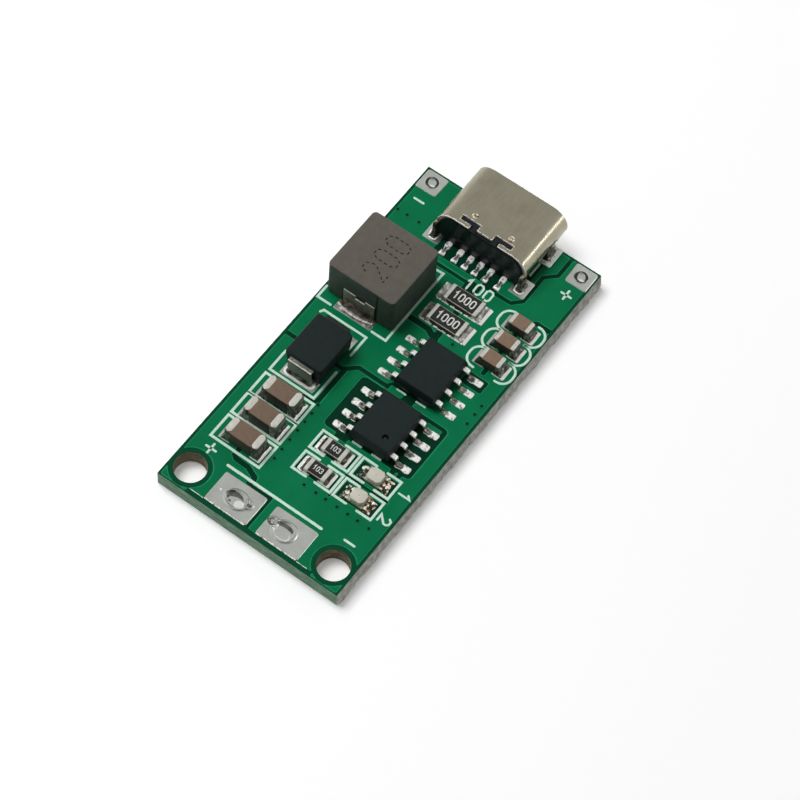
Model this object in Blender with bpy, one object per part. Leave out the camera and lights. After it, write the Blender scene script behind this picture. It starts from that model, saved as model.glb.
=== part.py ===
"""Lithium battery charger module: a small green circuit board with a reversible charging socket,
a moulded power inductor, a rectifier diode, two eight-pin chips, chip capacitors, chip resistors,
two indicator lights and four tinned connection pads.

Units are metres. X runs across the board, Y runs from the battery end to the socket end, Z is up.
The origin is under the middle of the whole module, on the board's underside.
"""

import math

import bmesh
import bpy
from mathutils import Vector

MM = 0.001

# Board
BOARD_WIDTH = 17.5 * MM
BOARD_LENGTH = 36.5 * MM
BOARD_THICKNESS = 1.6 * MM
MOUNT_HOLE_DIAMETER = 2.75 * MM
MOUNT_HOLE_INSET_X = 1.75 * MM
MOUNT_HOLE_INSET_Y = 1.95 * MM

# Clearances
SEAT_GAP = 0.02 * MM
FIT_GAP = 0.02 * MM
SLOT_GAP = 0.14 * MM
CUT_PAST = 0.5 * MM

# Tinned pads
PAD_THICKNESS = 0.07 * MM
PAD_CORNER = 0.15 * MM
PAD_HOLE_DIAMETER = 1.24 * MM
PAD_RIM_HEIGHT = 0.11 * MM
PAD_DIMPLE_DEPTH = 0.13 * MM
PAD_RIM_REACH = 0.22 * MM
BATTERY_PAD_WIDTH = 4.1 * MM
BATTERY_PAD_DEPTH = 3.0 * MM
BATTERY_PAD_SPACING = 5.0 * MM
BATTERY_PAD_EDGE = 0.45 * MM
INPUT_PAD_SIDE = 2.1 * MM
INPUT_PAD_EDGE = 0.15 * MM

# Socket shell
SOCKET_WIDTH = 8.94 * MM
SOCKET_HEIGHT = 3.2 * MM
SOCKET_LENGTH = 6.0 * MM
SOCKET_OVERHANG = 1.2 * MM
SHELL_WALL = 0.3 * MM
NOTCH_DEPTH = 0.8 * MM
NOTCH_SLOT_LENGTH = 0.36 * MM
NOTCH_SLOT_WIDTH = 1.65 * MM
NOTCH_NECK_WIDTH = 0.5 * MM
NOTCH_FROM_CENTRE = 0.8 * MM
LEG_LENGTH = 1.25 * MM
REAR_LEG_WIDTH = 0.85 * MM
REAR_LEG_BEHIND = 0.2 * MM
FRONT_LEG_WIDTH = 1.1 * MM
LEG_ROW_SPACING = 4.0 * MM
FLOOR_CUT_DEPTH = 0.85 * MM
FLOOR_CUT_MARGIN = 0.4 * MM
LEG_ROOT = 0.27 * MM

# Socket housing and contacts
HOUSING_SLOPE = 0.28 * MM
HOUSING_BEHIND = 0.1 * MM
HOUSING_DROP = 0.1 * MM
HOUSING_CORNER = 1.45 * MM
PLUG_LENGTH = 1.55 * MM
TONGUE_WIDTH = 6.69 * MM
TONGUE_THICKNESS = 0.7 * MM
TONGUE_SETBACK = 0.75 * MM
CONTACT_THICKNESS = 0.15 * MM
CONTACT_WIDTH = 0.3 * MM
CONTACT_SETBACK = 0.55 * MM
CONTACT_FOOT_REACH = 1.5 * MM
CONTACT_RISER = 0.4 * MM
CONTACT_OFFSETS = (0.5 * MM, 1.52 * MM, 2.75 * MM)

# Inductor
INDUCTOR_SIDE = 6.55 * MM
INDUCTOR_HEIGHT = 4.1 * MM
INDUCTOR_CORNER = 0.4 * MM
INDUCTOR_EDGE = 0.09 * MM
INDUCTOR_TERMINAL_WIDTH = 3.1 * MM
INDUCTOR_TERMINAL_HEIGHT = 1.85 * MM
INDUCTOR_FOOT = 1.5 * MM
INDUCTOR_NOTCH_WIDTH = 1.0 * MM
INDUCTOR_NOTCH_HEIGHT = 0.3 * MM

# Diode
DIODE_WIDTH = 3.6 * MM
DIODE_LENGTH = 4.5 * MM
DIODE_HEIGHT = 2.25 * MM
DIODE_DRAFT = 0.14 * MM
DIODE_STANDOFF = 0.3 * MM
DIODE_CORNER = 0.3 * MM
DIODE_TERMINAL_WIDTH = 2.3 * MM
DIODE_TERMINAL_HEIGHT = 1.8 * MM
DIODE_TERMINAL_REACH = 0.3 * MM
DIODE_FOOT = 1.0 * MM

# Sheet metal of the terminals
TERMINAL_THICKNESS = 0.2 * MM
BEND_RADIUS = 0.22 * MM

# Eight-pin chips
CHIP_WIDTH = 3.9 * MM
CHIP_LENGTH = 4.9 * MM
CHIP_HEIGHT = 1.6 * MM
CHIP_STANDOFF = 0.15 * MM
CHIP_DRAFT = 0.13 * MM
CHIP_TOP_DRAFT = 0.2 * MM
CHIP_CORNER = 0.06 * MM
CHIP_LEAD_SPAN = 6.0 * MM
CHIP_LEAD_PITCH = 1.27 * MM
CHIP_LEAD_WIDTH = 0.42 * MM
CHIP_LEAD_THICKNESS = 0.2 * MM
CHIP_LEAD_BEND = 0.16 * MM
CHIP_FOOT = 0.62 * MM
CHIP_DIMPLE_RADIUS = 0.3 * MM
CHIP_DIMPLE_DEPTH = 0.1 * MM
CHIP_DIMPLE_INSET = 1.15 * MM
LEADS_PER_SIDE = 4

# How deep a terminal or a lead sits inside the body that it comes out of
EMBED = 0.3 * MM

# Chip capacitors and resistors: length, width, height, length of one metal end
BIG_CAPACITOR = (3.2 * MM, 1.6 * MM, 1.55 * MM, 0.52 * MM)
SMALL_CAPACITOR = (2.0 * MM, 1.25 * MM, 1.2 * MM, 0.42 * MM)
SENSE_RESISTOR = (3.2 * MM, 1.6 * MM, 0.6 * MM, 0.48 * MM)
SMALL_RESISTOR = (2.0 * MM, 1.25 * MM, 0.5 * MM, 0.38 * MM)
END_STEP = 0.025 * MM
CAPACITOR_ROUNDING = 0.14 * MM
RESISTOR_ROUNDING = 0.05 * MM

# Indicator lights
LIGHT_LENGTH = 2.0 * MM
LIGHT_WIDTH = 1.25 * MM
LIGHT_BASE_HEIGHT = 0.3 * MM
LIGHT_LENS_LENGTH = 1.4 * MM
LIGHT_LENS_HEIGHT = 0.42 * MM
LIGHT_LENS_DRAFT = 0.06 * MM
LIGHT_CASTELLATION = 0.3 * MM

# Places, as shares of the board's width and length from its battery-end left corner
SOCKET_ACROSS = 0.492
INDUCTOR_PLACE = (0.211, 0.678)
DIODE_PLACE = (0.211, 0.442)
CHIP_PLACES = {"driver_chip": (0.684, 0.549), "charger_chip": (0.684, 0.383)}
DIMPLED_CHIPS = ("charger_chip",)
BIG_CAPACITOR_PLACES = ((0.219, 0.305), (0.219, 0.240), (0.219, 0.174))
SMALL_CAPACITOR_PLACES = ((0.867, 0.771), (0.867, 0.715), (0.867, 0.659))
SENSE_RESISTOR_PLACES = ((0.577, 0.750), (0.577, 0.685))
SMALL_RESISTOR_PLACES = ((0.568, 0.273), (0.568, 0.211))
LIGHT_PLACES = ((0.795, 0.273), (0.795, 0.211))

# Section of the solder in a pad's hole, from the rim inwards: the radius as a share of the hole's,
# the height as a share of the rim's and the depth as a share of the dimple's
SOLDER_SECTION = ((1.3, 0.25, 0.0), (1.05, 1.0, 0.0), (0.8, 0.5, 0.0), (0.5, 0.0, 0.4), (0.15, 0.0, 1.0))
DIMPLE_ROOM = 0.7

# Facets
HOLE_SEGMENTS = 36
PAD_SEGMENTS = 28
SMALL_SEGMENTS = 20
ROUND_STEPS = 5
HOUSING_STEPS = 8
CORNER_STEPS = 2
END_STEPS = 3
SHELL_STEPS = 14

# Places that follow from the sizes
BOARD_LEFT = -BOARD_WIDTH / 2
BOARD_FRONT = -(BOARD_LENGTH + SOCKET_OVERHANG) / 2
BOARD_BACK = BOARD_FRONT + BOARD_LENGTH
BOARD_TOP = BOARD_THICKNESS
SEAT = BOARD_TOP + SEAT_GAP
SOCKET_X = BOARD_LEFT + SOCKET_ACROSS * BOARD_WIDTH
SOCKET_MOUTH = BOARD_BACK + SOCKET_OVERHANG
SOCKET_REAR = SOCKET_MOUTH - SOCKET_LENGTH


def place(shares):
    """The middle of a component, on the board's top face, from its shares of the width and length."""
    return Vector((BOARD_LEFT + shares[0] * BOARD_WIDTH, BOARD_FRONT + shares[1] * BOARD_LENGTH, SEAT))


def clear_scene():
    for old in list(bpy.data.objects):
        bpy.data.objects.remove(old, do_unlink=True)


def finish(name, colour, roughness, metallic=0.0):
    """A plain Principled material, made once for each name."""
    made = bpy.data.materials.get(name)
    if made is None:
        made = bpy.data.materials.new(name)
        made.use_nodes = True
        shader = made.node_tree.nodes["Principled BSDF"]
        shader.inputs["Base Color"].default_value = (*colour, 1.0)
        shader.inputs["Roughness"].default_value = roughness
        shader.inputs["Metallic"].default_value = metallic
    return made


def solder_mask():
    return finish("green_solder_mask", (0.005, 0.16, 0.075), 0.35)


def nickel():
    return finish("plated_shell", (0.42, 0.38, 0.30), 0.3, 1.0)


def tin():
    return finish("tinned_metal", (0.62, 0.61, 0.56), 0.35, 1.0)


def black_plastic():
    return finish("black_plastic", (0.012, 0.013, 0.015), 0.4)


def black_epoxy():
    return finish("black_epoxy", (0.02, 0.022, 0.026), 0.5)


def iron_powder():
    return finish("pressed_iron_powder", (0.11, 0.105, 0.09), 0.6)


def gold():
    return finish("plated_contact", (0.75, 0.55, 0.2), 0.25, 1.0)


def ceramic():
    return finish("capacitor_ceramic", (0.2, 0.125, 0.085), 0.45)


def resistor_glaze():
    return finish("resistor_glaze", (0.03, 0.032, 0.035), 0.3)


def light_base():
    return finish("light_base", (0.5, 0.5, 0.4), 0.5)


def light_lens():
    return finish("light_lens", (0.75, 0.73, 0.58), 0.3)


def mesh_object(name, points, faces, material, smooth=False):
    """One closed mesh from points and faces, with its faces turned outwards."""
    mesh = bpy.data.meshes.new(name)
    mesh.from_pydata([tuple(p) for p in points], [], [tuple(f) for f in faces])
    shape = bmesh.new()
    shape.from_mesh(mesh)
    bmesh.ops.recalc_face_normals(shape, faces=shape.faces)
    shape.to_mesh(mesh)
    shape.free()
    mesh.materials.append(material)
    if smooth:
        mesh.shade_smooth()
        mesh.set_sharp_from_angle(angle=math.radians(35))
    made = bpy.data.objects.new(name, mesh)
    bpy.context.scene.collection.objects.link(made)
    return made


def loft(rings):
    """Points and faces of a closed body through rings that all have the same number of points."""
    count = len(rings[0])
    points = [point for ring in rings for point in ring]
    faces = [list(range(count))[::-1], list(range(len(points) - count, len(points)))]
    for row in range(len(rings) - 1):
        low = row * count
        for i in range(count):
            j = (i + 1) % count
            faces.append((low + i, low + j, low + count + j, low + count + i))
    return points, faces


def extrude_x(outline, low, high):
    """A body whose outline is (y, z) pairs."""
    return loft([[(x, y, z) for y, z in outline] for x in (low, high)])


def extrude_y(outline, low, high):
    """A body whose outline is (x, z) pairs."""
    return loft([[(x, y, z) for x, z in outline] for y in (low, high)])


def extrude_z(outline, low, high):
    """A body whose outline is (x, y) pairs."""
    return loft([[(x, y, z) for x, y in outline] for z in (low, high)])


def joined(bodies):
    """Several bodies as one list of points and one of faces."""
    points, faces = [], []
    for more_points, more_faces in bodies:
        start = len(points)
        points.extend(more_points)
        faces.extend([[start + i for i in face] for face in more_faces])
    return points, faces


def rounded_rectangle(centre, width, depth, radius, steps=ROUND_STEPS):
    """Corner arcs of a rectangle, anticlockwise, as pairs about its centre."""
    radius = min(radius, width / 2, depth / 2)
    outline = []
    for quarter, (sx, sy) in enumerate(((1, 1), (-1, 1), (-1, -1), (1, -1))):
        cx = centre[0] + sx * (width / 2 - radius)
        cy = centre[1] + sy * (depth / 2 - radius)
        for step in range(steps + 1):
            angle = (quarter + step / steps) * math.pi / 2
            point = (cx + radius * math.cos(angle), cy + radius * math.sin(angle))
            if not outline or math.dist(point, outline[-1]) > 1e-7:
                outline.append(point)
    if math.dist(outline[0], outline[-1]) < 1e-7:
        outline.pop()
    return outline


def circle(centre, radius, segments):
    turn = 2 * math.pi / segments
    return [
        (centre[0] + radius * math.cos(i * turn), centre[1] + radius * math.sin(i * turn))
        for i in range(segments)
    ]


def rectangle(x_low, x_high, y_low, y_high):
    return [(x_low, y_low), (x_high, y_low), (x_high, y_high), (x_low, y_high)]


def box(x_low, x_high, y_low, y_high, z_low, z_high):
    return extrude_z(rectangle(x_low, x_high, y_low, y_high), z_low, z_high)


def bent(corners, radius, steps=3):
    """A path of 2-D points whose inner corners are turned into arcs."""
    path = [Vector(corners[0])]
    for before, corner, after in zip(corners, corners[1:], corners[2:]):
        corner = Vector(corner)
        into = (corner - Vector(before)).normalized()
        out = (Vector(after) - corner).normalized()
        half = into.angle(out) / 2
        back = radius * math.tan(half)
        side = (out - into).normalized()
        centre = corner + side * (radius / math.cos(half))
        start = corner - into * back - centre
        turn = 2 * half if into.cross(out) > 0 else -2 * half
        for step in range(steps + 1):
            angle = turn * step / steps
            cosine, sine = math.cos(angle), math.sin(angle)
            across = start.x * cosine - start.y * sine
            up = start.x * sine + start.y * cosine
            path.append(centre + Vector((across, up)))
    path.append(Vector(corners[-1]))
    return path


def strip(path, thickness):
    """The outline of a sheet of this thickness whose middle follows the path."""
    left, right = [], []
    for i, point in enumerate(path):
        before = path[max(i - 1, 0)]
        after = path[min(i + 1, len(path) - 1)]
        along = (after - before).normalized()
        into = (point - before).normalized() if i else along
        stretch = 1 / max(into.dot(along), 0.5)
        normal = Vector((-along.y, along.x)) * (thickness / 2 * stretch)
        left.append(tuple(point + normal))
        right.append(tuple(point - normal))
    return left + right[::-1]


def helper(name, body):
    """A cutter or an added shape for a Boolean, left out of the render."""
    made = mesh_object(name, *body, black_plastic())
    made.hide_render = True
    made.display_type = "WIRE"
    return made


def boolean(target, other, operation):
    cut = target.modifiers.new(other.name, "BOOLEAN")
    cut.operation = operation
    cut.solver = "EXACT"
    cut.object = other


def pad_centres():
    """Name, middle and size of each tinned pad."""
    middle = BOARD_LEFT + BOARD_WIDTH / 2
    battery_y = BOARD_FRONT + BATTERY_PAD_EDGE + BATTERY_PAD_DEPTH / 2
    battery_size = (BATTERY_PAD_WIDTH, BATTERY_PAD_DEPTH)
    input_in = INPUT_PAD_EDGE + INPUT_PAD_SIDE / 2
    input_size = (INPUT_PAD_SIDE, INPUT_PAD_SIDE)
    return (
        ("battery_pad_positive", (middle - BATTERY_PAD_SPACING / 2, battery_y), battery_size),
        ("battery_pad_negative", (middle + BATTERY_PAD_SPACING / 2, battery_y), battery_size),
        ("input_pad_negative", (BOARD_LEFT + input_in, BOARD_BACK - input_in), input_size),
        ("input_pad_positive", (BOARD_LEFT + BOARD_WIDTH - input_in, BOARD_BACK - input_in), input_size),
    )


def leg_places():
    """Side, middle along Y and width of each leg of the socket's shell."""
    rear = SOCKET_REAR - REAR_LEG_BEHIND
    front = rear + LEG_ROW_SPACING
    return [
        (side, middle, width)
        for side in (-1, 1)
        for middle, width in ((rear, REAR_LEG_WIDTH), (front, FRONT_LEG_WIDTH))
    ]


def make_board():
    """A flat board with two mounting holes, four pad holes and four slots for the shell's legs."""
    low, high = -CUT_PAST, BOARD_TOP + CUT_PAST
    holes = []
    for x in (BOARD_LEFT + MOUNT_HOLE_INSET_X, BOARD_LEFT + BOARD_WIDTH - MOUNT_HOLE_INSET_X):
        centre = (x, BOARD_FRONT + MOUNT_HOLE_INSET_Y)
        holes.append(extrude_z(circle(centre, MOUNT_HOLE_DIAMETER / 2, HOLE_SEGMENTS), low, high))
    for _, centre, _ in pad_centres():
        holes.append(extrude_z(circle(centre, PAD_HOLE_DIAMETER / 2, PAD_SEGMENTS), low, high))
    slot_across = SHELL_WALL + 2 * SLOT_GAP
    leg_x = (SOCKET_WIDTH - SHELL_WALL) / 2
    for side, middle, width in leg_places():
        slot_along = width + 2 * SLOT_GAP
        at = (SOCKET_X + side * leg_x, middle)
        outline = rounded_rectangle(at, slot_across, slot_along, slot_across / 2)
        holes.append(extrude_z(outline, low, high))
    outline = rectangle(BOARD_LEFT, BOARD_LEFT + BOARD_WIDTH, BOARD_FRONT, BOARD_BACK)
    board = mesh_object("board", *extrude_z(outline, 0, BOARD_THICKNESS), solder_mask())
    boolean(board, helper("board_holes", joined(holes)), "DIFFERENCE")


def turned(centre, profile, segments):
    """A closed body turned round a vertical line: profile is (radius, z) from the bottom to the top."""
    rings = []
    for radius, z in profile:
        rings.append([(x, y, z) for x, y in circle(centre, radius, segments)])
    return loft(rings)


def make_pads():
    """Each pad is a tin plate on the board whose solder fills the plated hole and stands in a low rim."""
    top = SEAT + PAD_THICKNESS
    hole = PAD_HOLE_DIAMETER / 2
    for name, centre, size in pad_centres():
        plate = extrude_z(rounded_rectangle(centre, *size, PAD_CORNER), SEAT, top)
        pad = mesh_object(name, *plate, tin(), smooth=True)
        inside = top - PAD_THICKNESS / 2
        profile = [(hole - FIT_GAP, SEAT_GAP), (hole - FIT_GAP, inside), (hole + PAD_RIM_REACH, inside)]
        for share, rise, fall in SOLDER_SECTION:
            profile.append((hole * share, top + PAD_RIM_HEIGHT * rise - PAD_DIMPLE_DEPTH * fall))
        room = circle(centre, hole * DIMPLE_ROOM, PAD_SEGMENTS)
        dimple = extrude_z(room, SEAT - CUT_PAST, top + CUT_PAST)
        boolean(pad, helper(name + "_room", dimple), "DIFFERENCE")
        boolean(pad, helper(name + "_solder", turned(centre, profile, PAD_SEGMENTS)), "UNION")


def stadium(inset, z_low, z_high):
    """The shell's round-sided section, drawn in by an inset, as (x, z) pairs."""
    width = SOCKET_WIDTH - 2 * inset
    height = z_high - z_low
    centre = (SOCKET_X, (z_low + z_high) / 2)
    return rounded_rectangle(centre, width, height, height / 2, SHELL_STEPS)


def notch_outline(side, grow):
    """An L-shaped lock notch in the top of the shell, or with negative growth the lug that fills it."""
    inner = SOCKET_X + side * (NOTCH_FROM_CENTRE - grow)
    neck = SOCKET_X + side * (NOTCH_FROM_CENTRE + NOTCH_NECK_WIDTH + grow)
    outer = SOCKET_X + side * (NOTCH_FROM_CENTRE + NOTCH_SLOT_WIDTH + grow)
    back = SOCKET_REAR - CUT_PAST
    slot_low = SOCKET_REAR + NOTCH_DEPTH - NOTCH_SLOT_LENGTH - grow
    slot_high = SOCKET_REAR + NOTCH_DEPTH + grow
    return [
        (inner, back),
        (neck, back),
        (neck, slot_low),
        (outer, slot_low),
        (outer, slot_high),
        (inner, slot_high),
    ]


def floor_opening(gap, z_low, z_high):
    """The opening in the shell's floor for the contacts, or with a gap the plastic that fills it."""
    half = max(CONTACT_OFFSETS) + FLOOR_CUT_MARGIN - gap
    near = SOCKET_REAR - (0 if gap else CUT_PAST)
    return box(SOCKET_X - half, SOCKET_X + half, near, SOCKET_REAR + FLOOR_CUT_DEPTH - gap, z_low, z_high)


def make_shell():
    """A folded tube with round sides, two lock notches and four legs cut down out of its lower walls."""
    low, high = SEAT, SEAT + SOCKET_HEIGHT
    middle = (low + high) / 2
    outer = extrude_y(stadium(0, low, high), SOCKET_REAR, SOCKET_MOUTH)
    shell = mesh_object("socket_shell", *outer, nickel(), smooth=True)
    bore_outline = stadium(SHELL_WALL, low + SHELL_WALL, high - SHELL_WALL)
    bore = extrude_y(bore_outline, SOCKET_REAR - CUT_PAST, SOCKET_MOUTH + CUT_PAST)
    boolean(shell, helper("shell_bore", bore), "DIFFERENCE")
    notches = [
        extrude_z(notch_outline(side, 0), high - SOCKET_HEIGHT / 4, high + CUT_PAST) for side in (-1, 1)
    ]
    boolean(shell, helper("shell_notches", joined(notches)), "DIFFERENCE")

    floor_cut = floor_opening(0, low - CUT_PAST, low + SOCKET_HEIGHT / 4)
    boolean(shell, helper("shell_floor_cut", floor_cut), "DIFFERENCE")

    half = SOCKET_WIDTH / 2
    windows, legs = [], []
    for side, along, width in leg_places():
        near, far = along - width / 2, along + width / 2
        walls = sorted((SOCKET_X + side * (half - SHELL_WALL), SOCKET_X + side * half))
        legs.append(box(*walls, near, far, SEAT - LEG_LENGTH, middle + LEG_ROOT))
        reach = sorted((SOCKET_X + side * (half - SOCKET_HEIGHT / 2), SOCKET_X + side * (half + CUT_PAST)))
        windows.append(box(*reach, near - SHELL_WALL, far + SHELL_WALL, low - CUT_PAST, middle))
    boolean(shell, helper("shell_leg_windows", joined(windows)), "DIFFERENCE")
    boolean(shell, helper("shell_legs", joined(legs)), "UNION")


def contact_path(side, gap):
    """Middle of a contact as (y, z): foot on its pad, up inside the housing, along the tongue."""
    half = CONTACT_THICKNESS / 2
    level = SEAT + SOCKET_HEIGHT / 2 + side * (TONGUE_THICKNESS / 2 - half)
    foot = SEAT + half
    tip = SOCKET_REAR - CONTACT_FOOT_REACH
    riser = SOCKET_REAR + CONTACT_RISER
    end = SOCKET_MOUTH - TONGUE_SETBACK - CONTACT_SETBACK + gap
    return bent([(tip, foot), (riser, foot), (riser, level), (end, level)], BEND_RADIUS)


def contact_places():
    """Number, X and the face of the tongue, 1 for upper and -1 for lower, of each contact."""
    offsets = sorted([-x for x in CONTACT_OFFSETS] + list(CONTACT_OFFSETS))
    return [(i + 1, SOCKET_X + x, 1 if i % 2 else -1) for i, x in enumerate(offsets)]


def make_contacts():
    for number, x, side in contact_places():
        outline = strip(contact_path(side, 0), CONTACT_THICKNESS)
        body = extrude_x(outline, x - CONTACT_WIDTH / 2, x + CONTACT_WIDTH / 2)
        mesh_object(f"socket_contact_{number}", *body, gold())


def make_housing():
    """One moulding: the sloped block behind the shell, the plug inside it, its lock lugs and the tongue."""
    top = SEAT + SOCKET_HEIGHT
    middle = (SEAT + top) / 2
    block_width = SOCKET_WIDTH - 2 * (SHELL_WALL + FIT_GAP)
    block_high = top - HOUSING_DROP
    rings = []
    for is_front in (False, True):
        ring = []
        centre = (SOCKET_X, (SEAT + block_high) / 2)
        section = rounded_rectangle(centre, block_width, block_high - SEAT, HOUSING_CORNER, HOUSING_STEPS)
        for x, z in section:
            share = (block_high - z) / (block_high - SEAT)
            y = SOCKET_REAR - FIT_GAP if is_front else SOCKET_REAR - HOUSING_BEHIND - HOUSING_SLOPE * share
            ring.append((x, y, z))
        rings.append(ring)
    housing = mesh_object("socket_housing", *loft(rings), black_plastic(), smooth=True)

    inset = SHELL_WALL + FIT_GAP
    plug_outline = stadium(inset, SEAT + inset, top - inset)
    plug = extrude_y(plug_outline, SOCKET_REAR - 2 * FIT_GAP, SOCKET_REAR + PLUG_LENGTH)
    boolean(housing, helper("housing_plug", plug), "UNION")

    foot = floor_opening(FIT_GAP, SEAT, middle)
    boolean(housing, helper("housing_foot", foot), "UNION")

    tongue_end = SOCKET_MOUTH - TONGUE_SETBACK
    tongue_outline = rounded_rectangle(
        (SOCKET_X, middle), TONGUE_WIDTH, TONGUE_THICKNESS, TONGUE_THICKNESS / 3, CORNER_STEPS
    )
    tongue = extrude_y(tongue_outline, SOCKET_REAR + PLUG_LENGTH / 2, tongue_end)
    boolean(housing, helper("housing_tongue", tongue), "UNION")

    lugs = []
    for side in (-1, 1):
        outline = notch_outline(side, -FIT_GAP)
        outline = [(x, max(y, SOCKET_REAR - HOUSING_BEHIND / 2)) for x, y in outline]
        lugs.append(extrude_z(outline, top - 2 * inset, top - HOUSING_DROP))
    boolean(housing, helper("housing_lugs", joined(lugs)), "UNION")

    channels = []
    for _, x, side in contact_places():
        outline = strip(contact_path(side, FIT_GAP), CONTACT_THICKNESS + 2 * FIT_GAP)
        reach = CONTACT_WIDTH / 2 + FIT_GAP
        channels.append(extrude_x(outline, x - reach, x + reach))
    boolean(housing, helper("housing_channels", joined(channels)), "DIFFERENCE")

    half = CONTACT_WIDTH / 2 + FIT_GAP
    tip = SOCKET_REAR - CONTACT_FOOT_REACH
    slots = [
        box(x - half, x + half, tip, SOCKET_REAR, BOARD_TOP, SEAT + CONTACT_THICKNESS)
        for _, x, _ in contact_places()
    ]
    boolean(housing, helper("housing_foot_slots", joined(slots)), "DIFFERENCE")


def terminal_path(face, side, level, reach, foot):
    """Middle of a folded end terminal as (y, z): out of the body, down its end and back under it."""
    half = TERMINAL_THICKNESS / 2
    inside = face - side * EMBED
    outside = face + side * reach
    floor = SEAT + half
    end = outside - side * foot
    return bent([(inside, level), (outside, level), (outside, floor), (end, floor)], BEND_RADIUS)


def make_inductor():
    """A pressed block with a flat metal terminal folded down each end and under it."""
    centre = place(INDUCTOR_PLACE)
    half = INDUCTOR_SIDE / 2
    plate = TERMINAL_THICKNESS
    recess = plate + FIT_GAP
    top = SEAT + INDUCTOR_HEIGHT
    level = SEAT + INDUCTOR_TERMINAL_HEIGHT
    rings = []
    sections = (
        (INDUCTOR_EDGE, SEAT),
        (0, SEAT + INDUCTOR_EDGE),
        (0, top - INDUCTOR_EDGE),
        (INDUCTOR_EDGE, top),
    )
    for drawn_in, z in sections:
        side = INDUCTOR_SIDE - 2 * drawn_in
        outline = rounded_rectangle(centre, side, side, INDUCTOR_CORNER - drawn_in)
        rings.append([(x, y, z) for x, y in outline])
    core = mesh_object("inductor_core", *loft(rings), iron_powder(), smooth=True)

    reach = INDUCTOR_TERMINAL_WIDTH / 2 + FIT_GAP
    cuts, pockets = [], []
    for side in (-1, 1):
        face = centre.y + side * half
        ends = sorted((face - side * recess, face + side * CUT_PAST))
        cuts.append(box(centre.x - reach, centre.x + reach, *ends, BOARD_TOP, top + CUT_PAST))
        under = sorted((face - side * (INDUCTOR_FOOT + recess), face + side * CUT_PAST * 2))
        pockets.append(box(centre.x - reach, centre.x + reach, *under, BOARD_TOP - FIT_GAP, SEAT + recess))
        entry = sorted((face - side * (recess + EMBED + FIT_GAP), face))
        thick = recess / 2 + FIT_GAP
        pockets.append(box(centre.x - reach, centre.x + reach, *entry, level - thick, level + thick))
    boolean(core, helper("inductor_recess", joined(cuts)), "DIFFERENCE")
    boolean(core, helper("inductor_pockets", joined(pockets)), "DIFFERENCE")

    for side, name in ((-1, "front"), (1, "rear")):
        face = centre.y + side * half
        path = terminal_path(face - side * recess, side, level, plate / 2 + FIT_GAP, INDUCTOR_FOOT)
        across = INDUCTOR_TERMINAL_WIDTH / 2
        body = extrude_x(strip(path, plate), centre.x - across, centre.x + across)
        terminal = mesh_object(f"inductor_terminal_{name}", *body, tin(), smooth=True)
        notch_half = INDUCTOR_NOTCH_WIDTH / 2
        ends = sorted((face - side * (recess + EMBED + CUT_PAST), face + side * CUT_PAST))
        low = level + plate / 2 - INDUCTOR_NOTCH_HEIGHT
        notch = box(centre.x - notch_half, centre.x + notch_half, *ends, low, level + plate)
        boolean(terminal, helper(f"inductor_notch_{name}", notch), "DIFFERENCE")


def make_diode():
    """A moulded block, drafted from its parting line, with a terminal folded under each end."""
    centre = place(DIODE_PLACE)
    low, high = SEAT + DIODE_STANDOFF, SEAT + DIODE_HEIGHT
    level = SEAT + DIODE_TERMINAL_HEIGHT
    rings = []
    sections = (
        (DIODE_DRAFT, low),
        (0, level),
        (DIODE_DRAFT, high - CHIP_CORNER),
        (DIODE_DRAFT + CHIP_CORNER, high),
    )
    for drawn_in, z in sections:
        outline = rounded_rectangle(
            centre,
            DIODE_WIDTH - 2 * drawn_in,
            DIODE_LENGTH - 2 * drawn_in,
            DIODE_CORNER - drawn_in,
        )
        rings.append([(x, y, z) for x, y in outline])
    body = mesh_object("diode_body", *loft(rings), black_epoxy())

    across = DIODE_TERMINAL_WIDTH / 2
    thick = TERMINAL_THICKNESS / 2 + FIT_GAP
    reach = across + FIT_GAP
    pockets = []
    for side, name in ((-1, "front"), (1, "rear")):
        face = centre.y + side * DIODE_LENGTH / 2
        ends = sorted((face - side * (EMBED + FIT_GAP), face + side * CUT_PAST))
        pockets.append(box(centre.x - reach, centre.x + reach, *ends, level - thick, level + thick))
        path = terminal_path(face, side, level, DIODE_TERMINAL_REACH, DIODE_TERMINAL_REACH + DIODE_FOOT)
        metal = extrude_x(strip(path, TERMINAL_THICKNESS), centre.x - across, centre.x + across)
        mesh_object(f"diode_terminal_{name}", *metal, tin(), smooth=True)
    boolean(body, helper("diode_pockets", joined(pockets)), "DIFFERENCE")


def lead_rows(centre):
    """Side, lead number and Y of every lead of a chip, numbered down one side and back up the other."""
    first = -(LEADS_PER_SIDE - 1) / 2 * CHIP_LEAD_PITCH
    rows = []
    for row, side in enumerate((1, -1)):
        for i in range(LEADS_PER_SIDE):
            y = centre.y + side * (first + i * CHIP_LEAD_PITCH)
            rows.append((side, row * LEADS_PER_SIDE + i + 1, y))
    return rows


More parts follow.
